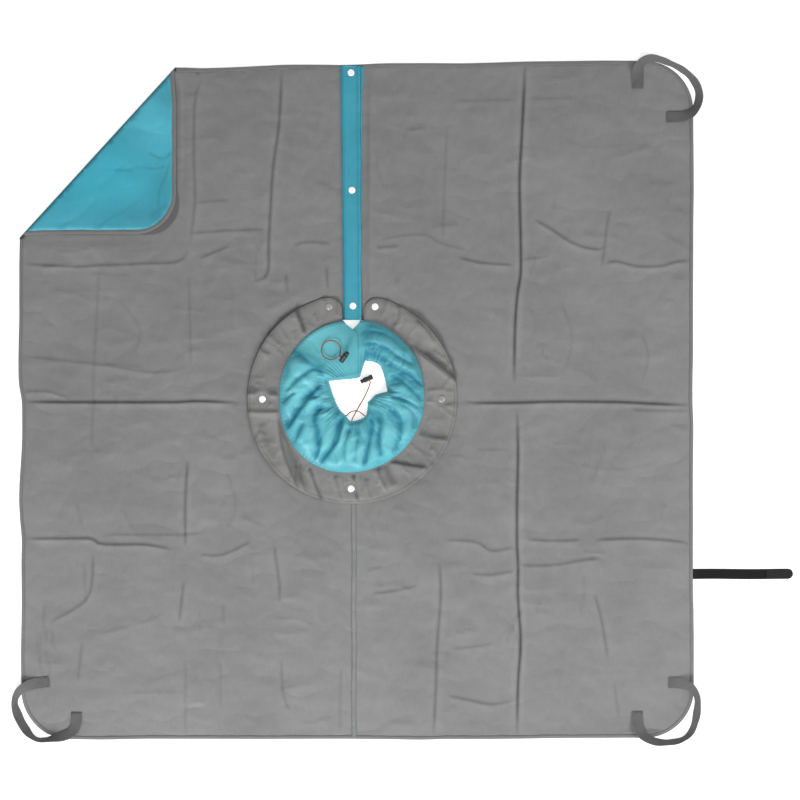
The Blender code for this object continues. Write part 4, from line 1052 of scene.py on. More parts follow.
def edge_runs():
    """The binding's three runs, each named for its CAD node, walked clockwise as seen from above."""
    slit_left, slit_right = slit_x - 0.0005, slit_x + 0.0005
    return {
        "edge_binding_top_left": np.vstack((on_fold(y=top_edge), (slit_left, top_edge))),
        "edge_binding_right": np.vstack((
            (slit_right, top_edge), corner_line(1, 1), corner_line(1, -1), (seam_x, bottom_edge),
        )),
        "edge_binding_lower_left": np.vstack((
            (seam_x - 0.0004, bottom_edge), corner_line(-1, -1), on_fold(x=left_edge),
        )),
    }


def add_edges():
    """Binding of the mat's edge and of the stem opening, with one row of stitches along each."""
    lines = []
    for name, line in edge_runs().items():
        piece = bound_edge(name, line)
        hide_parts(name)
        fine = paced(line, stitch_step)
        lines.append(on_cloth(fine + side_normals(fine) * stitch_inset, stitch_lift))
    edge = opening_line(opening_angle(slit_x - 0.001) + 0.3, 360 + opening_angle(slit_x + 0.001) - 0.3)
    bound_edge("opening_binding", edge)
    start, end = opening_angle(slit_x - 0.003), 360 + opening_angle(slit_x + 0.003)
    inner = opening_line(start, end, hole_radius + stitch_inset)
    lines.append(on_cloth(paced(inner, stitch_step), stitch_lift))
    stitches = add_stitches("edge_stitches", lines, "grey_thread", "mat")


def add_seam_tape():
    """Flat tape over the centre seam, sewn along both sides with a paler green thread."""
    y = np.arange(hole[1] - 0.2355, bottom_edge + 0.004, -0.006)
    offsets = np.array((-0.0055, -0.0052, -0.0040, 0.0, 0.0040, 0.0052, 0.0055))
    rises = np.array((0.0002, 0.0009, 0.0010, 0.00095, 0.0010, 0.0009, 0.0002))
    sway = 0.0006 * np.sin(y * 31.0)
    rows = []
    for offset, rise in zip(offsets, rises):
        rows.append(on_cloth(np.column_stack((seam_x + offset + sway, y)), rise))
    grid = np.stack(rows, axis=1)
    # Painted shade along the tape's edges, a little painted light along its middle
    crease = np.broadcast_to(np.array((0.6, 0.2, 0.0, -0.1, 0.0, 0.2, 0.6)), grid.shape[:2]).ravel()
    faces, lay = quads(*grid.shape[:2]), grid_lay(y, offsets)
    tape = add_piece("centre_seam_tape", grid.reshape(-1, 3), faces, "grey_cloth", "mat", lay, crease)
    face_up(tape)
    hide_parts("centre_seam_tape")
    lines = [on_cloth(np.column_stack((seam_x + side + sway, y)), 0.00115) for side in (-0.0041, 0.0041)]
    add_stitches("seam_stitches", lines, "seam_thread", "mat")


add_panels()
add_edges()
add_seam_tape()


# Turned-over corner

flap_top, fold_axis_z = 0.0044, 0.00225
flap_creases = Folds((
    (1.3, 5, 0.45, ((148, 150), (158, 156), (166, 156), (172, 149))),
    (1.2, 5, 0.50, ((143, 167), (156, 168), (166, 165)), 9),
    (1.3, 9, 0.30, ((158, 208), (160, 190), (166, 175), (171, 158)), 5),
    (1.3, 13, 0.25, ((96, 228), (112, 218), (126, 210), (146, 196)), 7),
    (0.9, 4, 0.45, ((112, 168.5), (124, 169.5), (134, 169))),
    (1.0, 14, 0.15, ((60, 228), (84, 214), (100, 196)), 8),
    (1.0, 12, 0.12, ((128, 120), (146, 128), (168, 122))),
    (0.9, 12, 0.10, ((96, 190), (112, 176), (126, 160)), 6),
    (1.0, 9, 0.20, ((150, 218), (158, 210), (168, 206)), 5),
))
flap_swells = ((0.5, 35, 0.11, 0.0), (0.35, 118, 0.07, 0.02), (0.15, 60, 0.033, 0.0))
# Painted shade and painted light on the flap, in soft darker and paler patches: strength, pixel, and reach in
# metres to the side and upward
flap_shades = (
    (0.50, 132, 217, 0.090, 0.030), (0.45, 163, 180, 0.030, 0.050), (0.40, 168, 92, 0.030, 0.040),
    (0.30, 160, 215, 0.040, 0.030), (-0.85, 110, 176, 0.100, 0.075), (-0.35, 158, 130, 0.035, 0.045),
)


def flap_dip(points):
    """How far the flap's cloth sags below its level: it never rises above it, so it can lie open."""
    points = np.asarray(points, float)[:, :2]
    dips, crease_shade = flap_creases.at(points)
    edge = np.minimum(flap_right - points[:, 0], points[:, 1] - flap_bottom)
    edge = np.minimum(edge, (points - fold_low) @ fold_inward)
    corner = np.hypot(points[:, 0] - flap_right, points[:, 1] - flap_bottom)
    quiet = smooth(edge / 0.03) * smooth((corner - 0.15) / 0.05)
    # Painted shade and light in soft patches, added to the creases' painted shade
    shade = sum(strength * patch(points, *place) for strength, *place in flap_shades)
    return (dips + waves(points, flap_swells)) * quiet, crease_shade * smooth(edge / 0.01) + shade


def on_flap(line, lift):
    """World places on the flap. What would lie beyond the fold line is drawn back to it."""
    line = np.array(line, float)[:, :2]
    beyond = np.maximum(0.0002 - (line - fold_low) @ fold_inward, 0) * 0.98
    upper = line[:, 1] > (fold_top[1] + fold_low[1]) / 2
    line[:, 1] += np.where(upper, beyond / fold_inward[1], 0)
    line[:, 0] += np.where(upper, 0, beyond / fold_inward[0])
    dip, _ = flap_dip(line)
    return drifted(level(line, flap_top - dip + lift))


def flap_edge(inset=0.0):
    """Free edge of the turned-over corner, from the top of the fold to its lower end."""
    right, low, radius = flap_right - inset, flap_bottom + inset, 0.090
    middle = np.array((flap_right - radius, flap_bottom + radius))
    bend = middle + around(np.radians(np.linspace(0, -90, 14)), radius - inset)
    return np.vstack((on_fold(x=right), bend, on_fold(y=low)))


def add_corner_flap():
    """The turned corner's cloth, which goes down a little under its binding, with that binding and its stitches."""
    under_binding, pitch, beside_crease = 0.0060, 0.0075, (-0.005, -0.002, 0.0, 0.002, 0.005)
    points, faces = filled(flap_edge(under_binding), pitch, flap_creases.guides(beside_crease))
    dip, crease_shade = flap_dip(points)
    by_edge = np.minimum(distance_to(points, flap_edge())[0], 0.02)
    placed = drifted(level(points, flap_top - dip - 0.0003 * (1 - smooth((by_edge - 0.0088) / 0.002))))
    cloth = add_piece("corner_flap", placed, faces, "turquoise_cloth", "corner_flap", points, crease_shade)
    face_up(cloth)
    thickened(cloth, cloth_skin, "grey_cloth")
    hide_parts("corner_flap")

    section = (
        (0.0086, -0.00040), (0.0084, 0.0000), (0.0060, 0.0000), (0.0040, 0.0000), (0.0012, 0.0000),
        (0.0002, -0.00020), (-0.0004, -0.0006), (0.0000, -0.00108), (0.0012, -0.00118), (0.0080, -0.00118),
    )
    edge = bound_edge("flap_binding", flap_edge(), section, on_flap, "corner_flap")
    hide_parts("flap_binding")
    fine = paced(flap_edge(), stitch_step)
    row = on_flap(fine + side_normals(fine) * 0.0052, -0.00012)
    add_stitches("flap_stitches", [row[3:-3]], "grey_thread", "corner_flap")


def add_fold_roll():
    """The cloth's bend along the fold line."""
    start, end = on_fold(y=top_edge), on_fold(x=left_edge)
    line = paced(np.array((start, end)), 0.008)
    outer, inner = fold_axis_z, fold_axis_z - 0.0010
    turns = np.radians(np.linspace(-90, 90, 9))
    rows = []
    for radius, part in ((outer, turns), (inner, turns[::-1])):
        for turn in part:
            side = line - fold_inward * (radius * math.cos(turn))
            rows.append(drifted(level(side, fold_axis_z + radius * math.sin(turn))))
    grid = np.stack(rows, axis=1)
    count, width = grid.shape[:2]
    lay = grid_lay(lengths_along(line), np.arange(width) * 0.0008)
    faces = quads(count, width, closed=True)
    # Its dark turquoise is painted shade along the fold line
    roll = add_piece("corner_fold_roll", grid.reshape(-1, 3), faces, "fold_line_shade", None, lay)
    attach(roll, "mat")
    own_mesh(roll)


# Handles: each strap of webbing runs from one sewn end over the corner to the other

webbing_half, webbing_half_thick = 0.0125, 0.0008
webbing_above = np.array((
    (-webbing_half, 0.0), (-0.0122, 0.00060), (-0.0110, 0.00078), (-0.0055, 0.00070), (0.0, 0.00074),
    (0.0055, 0.00070), (0.0110, 0.00078), (0.0122, 0.00060),
))
webbing_section = np.vstack((webbing_above, -webbing_above))
webbing_pixels = 11.2
# Height of the sewn webbing's underside above the mat's drawn cloth
webbing_rest = 0.0020


def webbing_strip(name, stations, base, carrier):
    """Stations are photo pixels with the width that shows there, which gives the webbing's tilt."""
    stations = np.array(stations, float)
    fine = smoothed(np.column_stack((spots(stations), stations[:, 2])), 9)
    along = lengths_along(fine[:, :2])
    step, narrowest, soft = 0.0028, 0.16, 9
    wanted = np.linspace(0, along[-1], int(along[-1] / step))
    x, y, width = [np.interp(wanted, along, column) for column in fine.T]
    line = before_drift(np.column_stack((x, y)))
    tilt = np.arccos(np.clip(width / webbing_pixels, narrowest, 1.0))
    tilt = np.convolve(np.pad(tilt, soft // 2, mode="edge"), np.ones(soft) / soft, mode="valid")
    tilt = tilt + 0.05 * np.sin(wanted * 150.0) * smooth(tilt / 0.4)
    height = base(line) + webbing_half * np.sin(tilt) + webbing_half_thick * np.cos(tilt)
    path = drifted(level(line, height))
    left = -side_normals(line)
    across = np.column_stack((left * np.cos(tilt)[:, None], np.sin(tilt)))
    grid = swept(path, webbing_section, across)
    lay = grid_lay(wanted, webbing_section[:, 0])
    piece = add_piece(name, grid.reshape(-1, 3), capped(*grid.shape[:2]), "grey_webbing", carrier, lay)
    return piece


def ground_by_edge(line):
    """Height that the webbing rests on: the mat's top inside its edge, the ground outside."""
    over = np.abs(line - (sheet_x, 0.0)) - (half_side - corner_round)
    out = np.hypot(*np.maximum(over, 0).T) + np.minimum(over.max(axis=1), 0)
    height, _ = cloth_height(line)
    on_ground = 0.0002
    return mix(height + webbing_rest, on_ground, smooth((out - corner_round + 0.002) / 0.022))


# Which corner each handle is at, to the side and upward, and its webbing's stations
handles = {
    "handle_tr": ((1, 1), (
        (637.5, 89, 11.2), (637.5, 77, 11.2), (638, 69, 10.6), (640.6, 63.6, 8.6), (645.4, 60.2, 7.4),
        (652, 58.6, 7.4), (660, 60.2, 5.4), (669, 63.6, 4.6), (680, 69, 4.8), (689.6, 76.4, 5.6), (696, 85, 6.6),
        (698.8, 94, 7.4), (698, 102.4, 7.4), (694.6, 109.8, 8), (689, 114.6, 9.6), (682, 116.8, 11),
        (675, 117.2, 11.2), (666.5, 117.2, 11.2),
    )),
    "handle_br": ((1, -1), (
        (668.6, 682.6, 11.2), (677, 682.8, 11.2), (684.5, 684, 10.8), (690.8, 687.3, 8.4), (695, 692.2, 5.4),
        (697, 698.5, 5), (697.1, 706, 6.4), (696.2, 714, 6.6), (694.6, 721.5, 6.2), (692, 729.2, 5.2),
        (687.2, 735.6, 4.2), (680.5, 739.6, 4.2), (673, 741.4, 4.8), (664, 742, 5.8), (655.5, 741.2, 6.8),
        (648.3, 738.6, 8), (642.2, 734, 9.6), (638.5, 727.5, 10.8), (637, 720, 11.2), (637, 711.6, 11.2),
    )),
    "handle_bl": ((-1, -1), (
        (76.5, 712.5, 11.2), (76.4, 720, 11.2), (75, 727, 10.8), (70.6, 732.6, 10.2), (63.5, 735.6, 9.8),
        (55, 737.4, 7.4), (46.5, 739.2, 4), (38.6, 739.2, 2.8), (32, 735.6, 4.8), (26.5, 729.6, 7.2),
        (21.6, 721.8, 8), (17.6, 713, 7.8), (15.2, 704, 6), (16.2, 696.8, 5), (20, 690.6, 8.2),
        (26.5, 686.2, 10.4), (34.5, 683.8, 11.2), (42, 682.6, 11.2), (49.3, 681.6, 11.2),
    )),
}


def end_stitches(stations, first):
    """Stitched box with crossed lines on the first or the last sewn end of webbing."""
    stations = before_drift(spots(stations))
    if not first:
        stations = stations[::-1]
    along = (stations[2] - stations[0]) / np.linalg.norm(stations[2] - stations[0])
    side = np.array((along[1], -along[0]))
    half, length, lift = 0.0098, 0.040, 0.00085
    start = stations[0] + along * 0.004
    a, b = start - side * half, start + side * half
    c, d = b + along * length, a + along * length
    lines = []
    for p, q in ((a, b), (b, c), (c, d), (d, a), (a, c), (b, d)):
        line = paced(np.array((p, q)), 0.002)
        height, _ = cloth_height(line)
        lines.append(drifted(level(line, height + webbing_rest + webbing_half_thick + lift)))
    return lines


def add_handles():
    """The three free handles, whose webbing drops from the mat's top to the ground near each corner."""
    lines = []
    for name, (way, stations) in handles.items():
        piece = webbing_strip(name + "_webbing", stations, ground_by_edge, None)
        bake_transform(piece)
        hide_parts(name + "_end_1", name + "_end_2", name + "_loop")
        for first in (True, False):
            lines += end_stitches(stations, first)
    add_stitches("handle_stitches", lines, "grey_thread", "mat", pitch=0.0034)


def add_corner_handle():
    """The turned corner's own handle, flat between the flap and the mat."""
    pixels = (
        (112, 227), (122, 227.6), (134, 228.6), (147, 229.6), (158, 228), (167, 221.5), (172.6, 211.5),
        (173.2, 200), (171, 189), (170, 177), (170, 166),
    )
    under_flap = 0.00150
    stations = [(*pair, webbing_pixels) for pair in pixels]
    piece = webbing_strip("handle_tl_webbing", stations, lambda line: under_flap, "corner_flap")
    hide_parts("handle_tl_end_1", "handle_tl_end_2", "handle_tl_loop")


add_corner_flap()
add_fold_roll()
add_handles()
add_corner_handle()


# Placket over the slit

placket_low, placket_high = np.array((-0.124898, 0.1825)), np.array((-0.131698, 0.75))
placket_length = np.linalg.norm(placket_high - placket_low)
placket_along = (placket_high - placket_low) / placket_length
placket_across = np.array((placket_along[1], -placket_along[0]))
placket_snaps = ((-0.10716, 0.21393), (-0.10935, 0.47215), (-0.11156, 0.73435))
snap_shares = (0.055, 0.510, 0.972)
placket_top = 0.0063
# Width by which the distances to the placket's sides are reckoned, and the width of its hem
placket_nominal, hem_width = 0.038, 0.0062
# Shares of its length where the flap has rows of points, and where its stitches run
placket_rows, placket_seam = np.linspace(0, 1, 150), np.linspace(0.004, 0.996, 260)


def placket_width(share):
    """Width of the flap, which grows a little towards the mat's edge."""
    return mix(0.0360, 0.0400, share)


def placket_place(share, across):
    """Level places by share of the placket's length and metres across it."""
    return placket_low + placket_along * (placket_length * share)[:, None] + placket_across * across[:, None]


def placket_sag(share, across_share):
    """The flap hangs a little between its snaps, most at its free side."""
    u = np.interp(share, snap_shares, (0.0, 1.0, 2.0))
    outer = smooth(across_share)
    hang = 0.0011 * np.sin(math.pi * u) ** 2 * outer
    ripple = 0.00025 * np.sin(share * 47.0 + across_share * 2.0)
    ripple = ripple + 0.00020 * np.sin(share * 113.0 - across_share * 3.0)
    from_snap = np.abs((share[..., None] - np.array(snap_shares)) * placket_length).min(axis=-1)
    return (hang + ripple * outer) * smooth((from_snap - 0.009) / 0.02)


def add_placket():
    """The flap over the slit, with its two rows of stitches."""
    sides = np.array((0.0, 0.006, 0.03, 0.10, 0.25, 0.42, 0.58, 0.72, 0.84, 0.92, 0.965, 0.988, 1.0))
    share, side = np.meshgrid(placket_rows, sides, indexing="ij")
    wander = 0.0007 * np.sin(share * 23.0) * side ** 2
    flat = placket_place(share.ravel(), (side * placket_width(share) + wander + 0.00005).ravel())
    sag = placket_sag(share, side).ravel()
    ends = np.minimum(share, 1 - share).ravel() * placket_length
    from_free = (1 - side.ravel()) * placket_nominal
    rim = np.minimum(from_free, np.minimum(side.ravel() * placket_nominal, ends))
    roll = 0.00035 * (1 - smooth(rim / 0.0011))
    hem = 0.00022 * smooth((from_free - hem_width) / 0.0008)
    heights = (placket_top - sag - roll - hem, placket_top - sag - 0.0008 + roll)
    # Painted shade along the hem's fold line
    hem_line_shade = np.exp(-((from_free - hem_width) / 0.0009) ** 2) * 0.5
    hem_line_shade = np.concatenate((hem_line_shade, np.zeros(len(hem_line_shade))))
    flap = add_slab("placket_flap", flat, heights, share.shape, "placket_cloth", None, hem_line_shade)
    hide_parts("placket_flap")
    fine = placket_seam
    rows = []
    from_free_side, from_hinge_side = 0.0052, 0.0030
    for across in (placket_width(fine) - from_free_side, np.full(len(fine), from_hinge_side)):
        drop = placket_sag(fine, across / placket_width(fine))
        rows.append(level(placket_place(fine, across), placket_top - drop + 0.00008))
    sewn = add_stitches("placket_stitches", rows, "teal_thread", None)
    add_placket_margin()
    near, far = (placket_place(np.array((0.5,)), np.array((reach,)))[0] for reach in (0.0, 0.007))
    for piece in (flap, sewn):
        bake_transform(piece)


def add_placket_margin():
    """The strip that sews the flap to the left panel, and its own row of stitches."""
    across = np.array((-0.0036, -0.0035, -0.0028, -0.0019, -0.0011, -0.0004, -0.00005))
    heights = np.array((0.0016, 0.0023, 0.0024, 0.0027, 0.0040, 0.0054, 0.0061))
    share, side = np.meshgrid(placket_rows, across, indexing="ij")
    flat = placket_place(share.ravel(), (side + 0.0003 * np.sin(share * 31.0) * (side < -0.003)).ravel())
    upper = np.broadcast_to(heights, share.shape)
    lower = upper - 0.0007
    lower[:, 0] = 0.00135
    # Painted shade along the margin's outer edge and where it turns up to the flap
    crease = np.tile(np.broadcast_to(np.array((0.4, 0.1, 0.0, 0.1, 0.3, 0.2, 0.1)), share.shape).ravel(), 2)
    layers = (upper.ravel(), lower.ravel())
    margin = add_slab("placket_margin", flat, layers, share.shape, "placket_cloth", "mat", crease)
    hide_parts("placket_margin")
    row = level(placket_place(placket_seam, np.full(len(placket_seam), -0.0024)), 0.0026)
    add_stitches("placket_margin_stitches", [row], "teal_thread", "mat")


def add_underlap():
    """Strip of cloth under the placket, sewn to the right side of the slit."""
    y = np.linspace(placket_low[1], top_edge, 130)
    share = (y - y[0]) / (y[-1] - y[0])
    sides = np.array((0.0, 0.02, 0.10, 0.30, 0.55, 0.80, 0.95, 0.985, 1.0))
    width = mix(0.0334, 0.0350, share) + 0.0036 * smooth((share - 0.86) / 0.13)
    x = slit_x + 0.0008 + sides[None] * width[:, None]
    flat = np.column_stack((x.ravel(), np.broadcast_to(y[:, None], x.shape).ravel()))
    rim = 0.0004 * (1 - smooth(np.minimum(sides, 1 - sides) * 0.036 / 0.0009))
    rim = np.broadcast_to(rim, x.shape).ravel()
    ripple = 0.00012 * np.sin(flat[:, 1] * 60.0)
    heights = (0.0022 + ripple - rim, 0.0015 + rim * 0.3)
    under = add_slab("slit_underlap", flat, heights, x.shape, "placket_cloth", "mat")
    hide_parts("slit_underlap")
    rows = [level(np.column_stack((slit_x + 0.0008 + side * width, y)), 0.0023) for side in (0.10, 0.90)]
    add_stitches("underlap_stitches", rows, "teal_thread", "mat")


# Snap fasteners

def stud_profile(base):
    """Stud and its rivet, from the back plate up, round at its post's head."""
    flange = base + 0.0003
    top = flange + 0.0019
    return (
        (0.0046, 0.0), (0.0050, 0.00015), (0.0050, 0.0004), (0.0047, 0.0005), (0.0015, 0.0005),
        (0.0015, flange), (0.0056, flange), (0.0060, flange + 0.00012), (0.0060, flange + 0.00036),
        (0.0056, flange + 0.0005), (0.0032, flange + 0.00055), (0.0024, flange + 0.0007), (0.0019, flange + 0.0010),
        (0.0020, flange + 0.0014), (0.0021, flange + 0.0016), (0.0018, top - 0.0001), (0.0010, top),
    )


def socket_profile(base):
    """Socket under the cloth and the domed cap above it."""
    low = base + 0.0011
    top = low + 0.0018
    gap, cloth = 0.0003, 0.0008
    cap = top + gap + cloth + gap
    return (
        (0.0025, top - 0.0004), (0.0025, low + 0.0002), (0.0028, low), (0.0050, low),
        (0.0056, low + 0.0002), (0.0060, low + 0.0007), (0.0059, top - 0.0004), (0.0050, top), (0.0020, top),
        (0.0020, cap), (0.0070, cap), (0.0075, cap + 0.00015), (0.0075, cap + 0.00045), (0.0072, cap + 0.0006),
        (0.0069, cap + 0.00058), (0.0066, cap + 0.0007), (0.0058, cap + 0.00115), (0.0045, cap + 0.00142),
        (0.0030, cap + 0.00153), (0.0016, cap + 0.00150), (0.0009, cap + 0.00140),
    )


def add_snaps(prefix, places, base, carrier, darker_caps=()):
    """Snap fasteners: studs on the mat, sockets with their caps on a body. Some caps are darker."""
    for number, place in enumerate(places, 1):
        name = f"{prefix}_snap_{number}"
        add_turned(name + "_stud", stud_profile(base), place, "snap_metal", "mat")
        metal = "darker_snap_metal" if number in darker_caps else "snap_metal"
        add_turned(name + "_socket", socket_profile(base), place, metal, carrier)


on_underlap, on_panel = 0.0023, 0.0012
add_placket()
add_underlap()
add_snaps("placket", placket_snaps, on_underlap, "placket")


# Collar: ring of the mat's cloth

ring_inner, ring_outer, ring_end_round = 0.156, 0.235, 0.045
# Where the sleeve's seam runs on the ring: degrees round the stem and metres from its middle
sleeve_degrees = (
    -180, -153, -130, -110, -90, -70, -52, -26, 0, 18, 35, 53, 72, 80, 90, 100, 110, 125, 139, 157, 180,
)
sleeve_reaches = (
    .1615, .1655, .1695, .1680, .1640, .1615, .1610, .1610, .1615, .1650, .1705, .1735, .1790, .1775, .1755,
    .1755, .1750, .1725, .1695, .1665, .1615,
)
ring_low, ring_thick, ring_stitch_inset = 0.0044, 0.0008, 0.0058
# Painted shadow along the ring's outer edge: how dark it is round the stem
ring_edge_shadow_degrees = (0, 18, 30, 70, 78, 102, 112, 172, 190, 235, 262, 300, 360)
ring_edge_shadows = (0.2, 0.4, 0.9, 1.0, 0.8, 0.8, 1.0, 1.0, 0.7, 0.25, 0.5, 0.2, 0.2)
collar_snaps = np.array((
    (0.0907, 0.0061), (-0.3093, 0.0061), (-0.11139, -0.19389), (-0.05789, 0.21227), (-0.1607, 0.21227),
))

collar_folds = Folds((
    (6.5, 7, 0.9, ((289, 294), (295, 308), (301, 322), (307, 338)), 5),
    (8.5, 11, 0.5, ((409, 345), (422, 354), (434, 363), (446, 373), (459, 384)), 4),
    (3.5, 7, 0.2, ((432, 350), (444, 359), (455, 368)), 5),
    (6.5, 11, 0.5, ((245, 393), (258, 394), (270, 395), (283, 396)), 4),
    (5.0, 6, 0.6, ((245, 411), (258, 412), (270, 412), (283, 412)), 10),
    (7.5, 13, 0.6, ((279, 414), (281, 436), (285, 456), (292, 474), (301, 493)), 4),
    (2.5, 5, 0.3, ((300, 463), (301, 478), (307, 494))),
    (4.5, 4, 0.6, ((309, 467), (315, 484), (323, 503)), 9),
    (3.6, 3, 0.9, ((353.5, 474), (354.5, 486), (358, 502)), 6),
    (6.5, 13, 0.5, ((375, 462), (381, 477), (388, 492)), 7),
    (5.5, 5, 0.9, ((388, 461), (407, 465), (429, 468)), 13),
    (6.5, 10, 0.5, ((418, 434), (434, 438), (450, 440)), 4),
    (3.5, 7, 0.3, ((424, 400), (438, 403), (458, 408)), 4),
    (2.4, 6, 0.4, ((424, 391), (440, 390), (456, 392)), 4),
    (4.0, 6, 0.9, ((320, 294), (325, 302), (327, 314)), 4),
    (2.6, 6, 0.4, ((334, 293), (337, 305), (336, 318)), 4),
    (3.4, 8, 0.3, ((398, 305), (400, 318), (392, 330)), 4),
    (2.6, 7, 0.2, ((388, 296), (384, 310), (378, 320)), 4),
    (3.6, 10, 0.25, ((270, 358), (262, 350), (252, 344)), 5),
    (2.8, 7, 0.25, ((281, 346), (272, 338), (264, 333)), 4),
    (3.2, 9, 0.3, ((436, 345), (428, 333), (416, 320)), 4),
    (2.8, 8, 0.25, ((430, 448), (436, 452), (440, 462)), 4),
    (3.0, 8, 0.25, ((366, 478), (368, 490), (372, 501)), 4),
    (2.8, 8, 0.25, ((335, 474), (338, 486), (343, 503)), 4),
    (2.6, 8, 0.2, ((262, 430), (255, 440), (256, 452)), 4),
), pitch=0.005, core=0.0034)


# Soft shade beside the ring's big folds
collar_shades = Folds((
    (0, 5, 0.75, ((414, 348), (428, 357), (440, 366), (450, 373), (460, 382))),
    (0, 5, 0.50, ((424, 352), (436, 360), (448, 368))),
    (0, 5, 0.60, ((246, 390), (258, 391), (270, 391), (283, 392))),
    (0, 5, 0.60, ((284, 418), (286, 436), (290, 454), (296, 472), (302, 488))),
    (0, 5, 0.35, ((293, 440), (298, 460), (304, 478), (310, 492))),
    (0, 5, 0.55, ((420, 436), (434, 439), (447, 438))),
    (0, 5, 0.55, ((384, 464), (390, 476), (395, 486))),
    (0, 5, 0.45, ((391, 463), (406, 467), (424, 469))),
    (0, 5, 0.35, ((296, 306), (301, 320), (306, 332))),
    (0, 5, 0.30, ((400, 300), (412, 312), (424, 328))),
    (0, 5, 0.30, ((260, 420), (266, 440), (272, 458))),
), pitch=0.005, core=0.0085)


def ring_wrinkles(count=80):
    """Short wrinkles that run out from the sleeve's seam over the ring."""
    chance = np.random.default_rng(5)
    strokes = []
    middle = np.array((352.0, 399.0))
    for _ in range(count):
        pixels = outward_line(chance, middle, (0, 360), 24, (74, 92), 1.6, (8, 24))
        rise, left, right = chance.uniform(0.8, 2.4), chance.uniform(3, 9), chance.uniform(3, 9)
        strokes.append((rise, left, chance.uniform(0.0, 0.35), pixels, right))
    return strokes


collar_wrinkles = Folds(ring_wrinkles(), pitch=0.006, core=0.0022, reach=2.6, falloff=1.5)


def ring_place(share, row):
    """Radius and angle round the stem. The ring's two outer corners by the slit are round."""
    cut = np.clip(1 - np.minimum(share, 1 - share) * math.tau * ring_outer / ring_end_round, 0, 1)
    outer = ring_outer - ring_end_round * (1 - np.sqrt(1 - cut ** 2))
    radius = mix(ring_inner, outer, row)
    right_of_slit, left_of_slit = 0.0254, 0.0206
    start = np.arccos(right_of_slit / radius)
    end = math.pi - np.arccos(left_of_slit / radius) - math.tau
    return radius, mix(start, end, share)


def ring_under(points):
    """Height of the ring's underside: level by its snaps and seam, waved between them."""
    radius = from_middle(points)
    angle = np.arctan2(points[:, 1] - hole[1], points[:, 0] - hole[0])
    share = (radius - ring_inner) / (ring_outer - ring_inner)
    # It stands up halfway between its four sides, though not near the slit
    from_slit = np.abs(turned_from(np.degrees(angle), 90))
    between = np.sin(2 * angle) ** 2 * smooth((from_slit - 22) / 20)
    out = np.clip((share - 0.84) / 0.16, 0, 1)
    # It lies level round each snap
    snap = np.hypot(points[:, :1] - collar_snaps[:, 0], points[:, 1:2] - collar_snaps[:, 1]).min(axis=1)
    lies = smooth((snap - 0.0095) / 0.014)
    creased, crease_shade = collar_folds.at(points)
    wrinkled, painted_shade = collar_wrinkles.at(points)
    # Painted shade of the folds and wrinkles, and the soft painted shade beside the big folds
    creased, crease_shade = creased + wrinkled * 0.8, crease_shade + painted_shade + collar_shades.at(points)[1]
    seam = smooth((radius - np.interp(np.degrees(angle), sleeve_degrees, sleeve_reaches) - 0.0015) / 0.009)
    wave = 0.0012 * (1 + np.sin(angle * 23 + 0.6 * np.sin(angle * 5))) * smooth((share - 0.55) / 0.45)
    rise = 0.0040 * between * smooth((share - 0.16) / 0.84) + creased * seam + wave * between
    # Puckers beside the sleeve's seam
    puckers = 0.00022 * np.sin(angle * 96 + 2.0 * np.sin(angle * 7)) * smooth((radius - 0.164) / 0.004)
    puckers *= 1 - smooth((radius - 0.170) / 0.012)
    return ring_low - 0.0022 * out * (1 - between * 0.8) + (rise + puckers) * lies, crease_shade * seam * lies


def add_ring():
    """The ring of cloth, hemmed along its edge, with a painted shadow along that edge as the photograph shows it.
    """
    ends = np.array((0.0, 0.0008, 0.002, 0.004, 0.007, 0.011, 0.016, 0.022, 0.029))
    shares = np.concatenate((ends, np.linspace(0.035, 0.965, 400), 1 - ends[::-1]))
    rows = np.concatenate((
        (0.0, 0.03, 0.08, 0.115), np.linspace(0.15, 0.88, 32), (0.905, 0.925, 0.945, 0.965, 0.982, 0.994, 1.0),
    ))
    share, row = np.meshgrid(shares, rows, indexing="ij")
    radius, angle = ring_place(share, row)
    flat = hole + around(angle.ravel(), radius.ravel())
    under, crease_shade = ring_under(flat)
    arc = (np.minimum(share, 1 - share) * math.tau * radius).ravel()
    rim = np.minimum((1 - row.ravel()) * (ring_outer - ring_inner), arc)
    roll = 0.00035 * (1 - smooth(rim / 0.0010))
    hem = 0.00025 * smooth((rim - hem_width) / 0.0010)
    # A darker line along the stitches, and painted shadow along the outer edge
    stitch_line_and_edge_shadow = 0.30 * np.exp(-(((rim - ring_stitch_inset) / 0.0011) ** 2))
    shaded = np.interp(np.degrees(angle.ravel()) % 360, ring_edge_shadow_degrees, ring_edge_shadows)
    stitch_line_and_edge_shadow += shaded * (1 - smooth((rim - 0.0012) / 0.0022))
    heights = (under + roll, under + ring_thick - roll - hem)
    crease = np.concatenate((np.zeros(len(flat)), np.clip(crease_shade + stitch_line_and_edge_shadow, -0.3, 1)))
    ring = add_slab("collar_ring", flat, heights, share.shape, "collar_cloth", "collar", crease)
    face_up(ring, False)
    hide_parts("collar_ring")
    add_ring_stitches()


def add_ring_stitches():
    """One row along the outer edge and down both ends."""
    shares = np.linspace(0, 1, 900)
    radius, angle = ring_place(shares, np.ones(900))
    outline = hole + around(angle, radius)
    ends = []
    for share in (0.0, 1.0):
        radius, angle = ring_place(np.full(30, share), np.linspace(0.12, 0.98, 30))
        ends.append(hole + around(angle, radius))
    outline = paced(np.vstack((ends[0], outline, ends[1][::-1])), 0.0022)
    line = outline + side_normals(outline) * ring_stitch_inset
    under, _ = ring_under(line)
    row = level(line, under + ring_thick - 0.0001)
    add_stitches("ring_stitches", [row], "grey_thread", "collar")


# Collar: gathered nylon sleeve. "Inward" runs from 0 at the ring to 1 at the hem round the stem.

sleeve_radius = 0.164
sleeve_low, sleeve_rise, sleeve_arch = 0.0055, 0.006, 0.013
sleeve_skin = 0.0004
# Angle in degrees at which the sleeve is smooth and hardly gathered
smooth_middle = 108
mouth_middle = hole + 0.0112
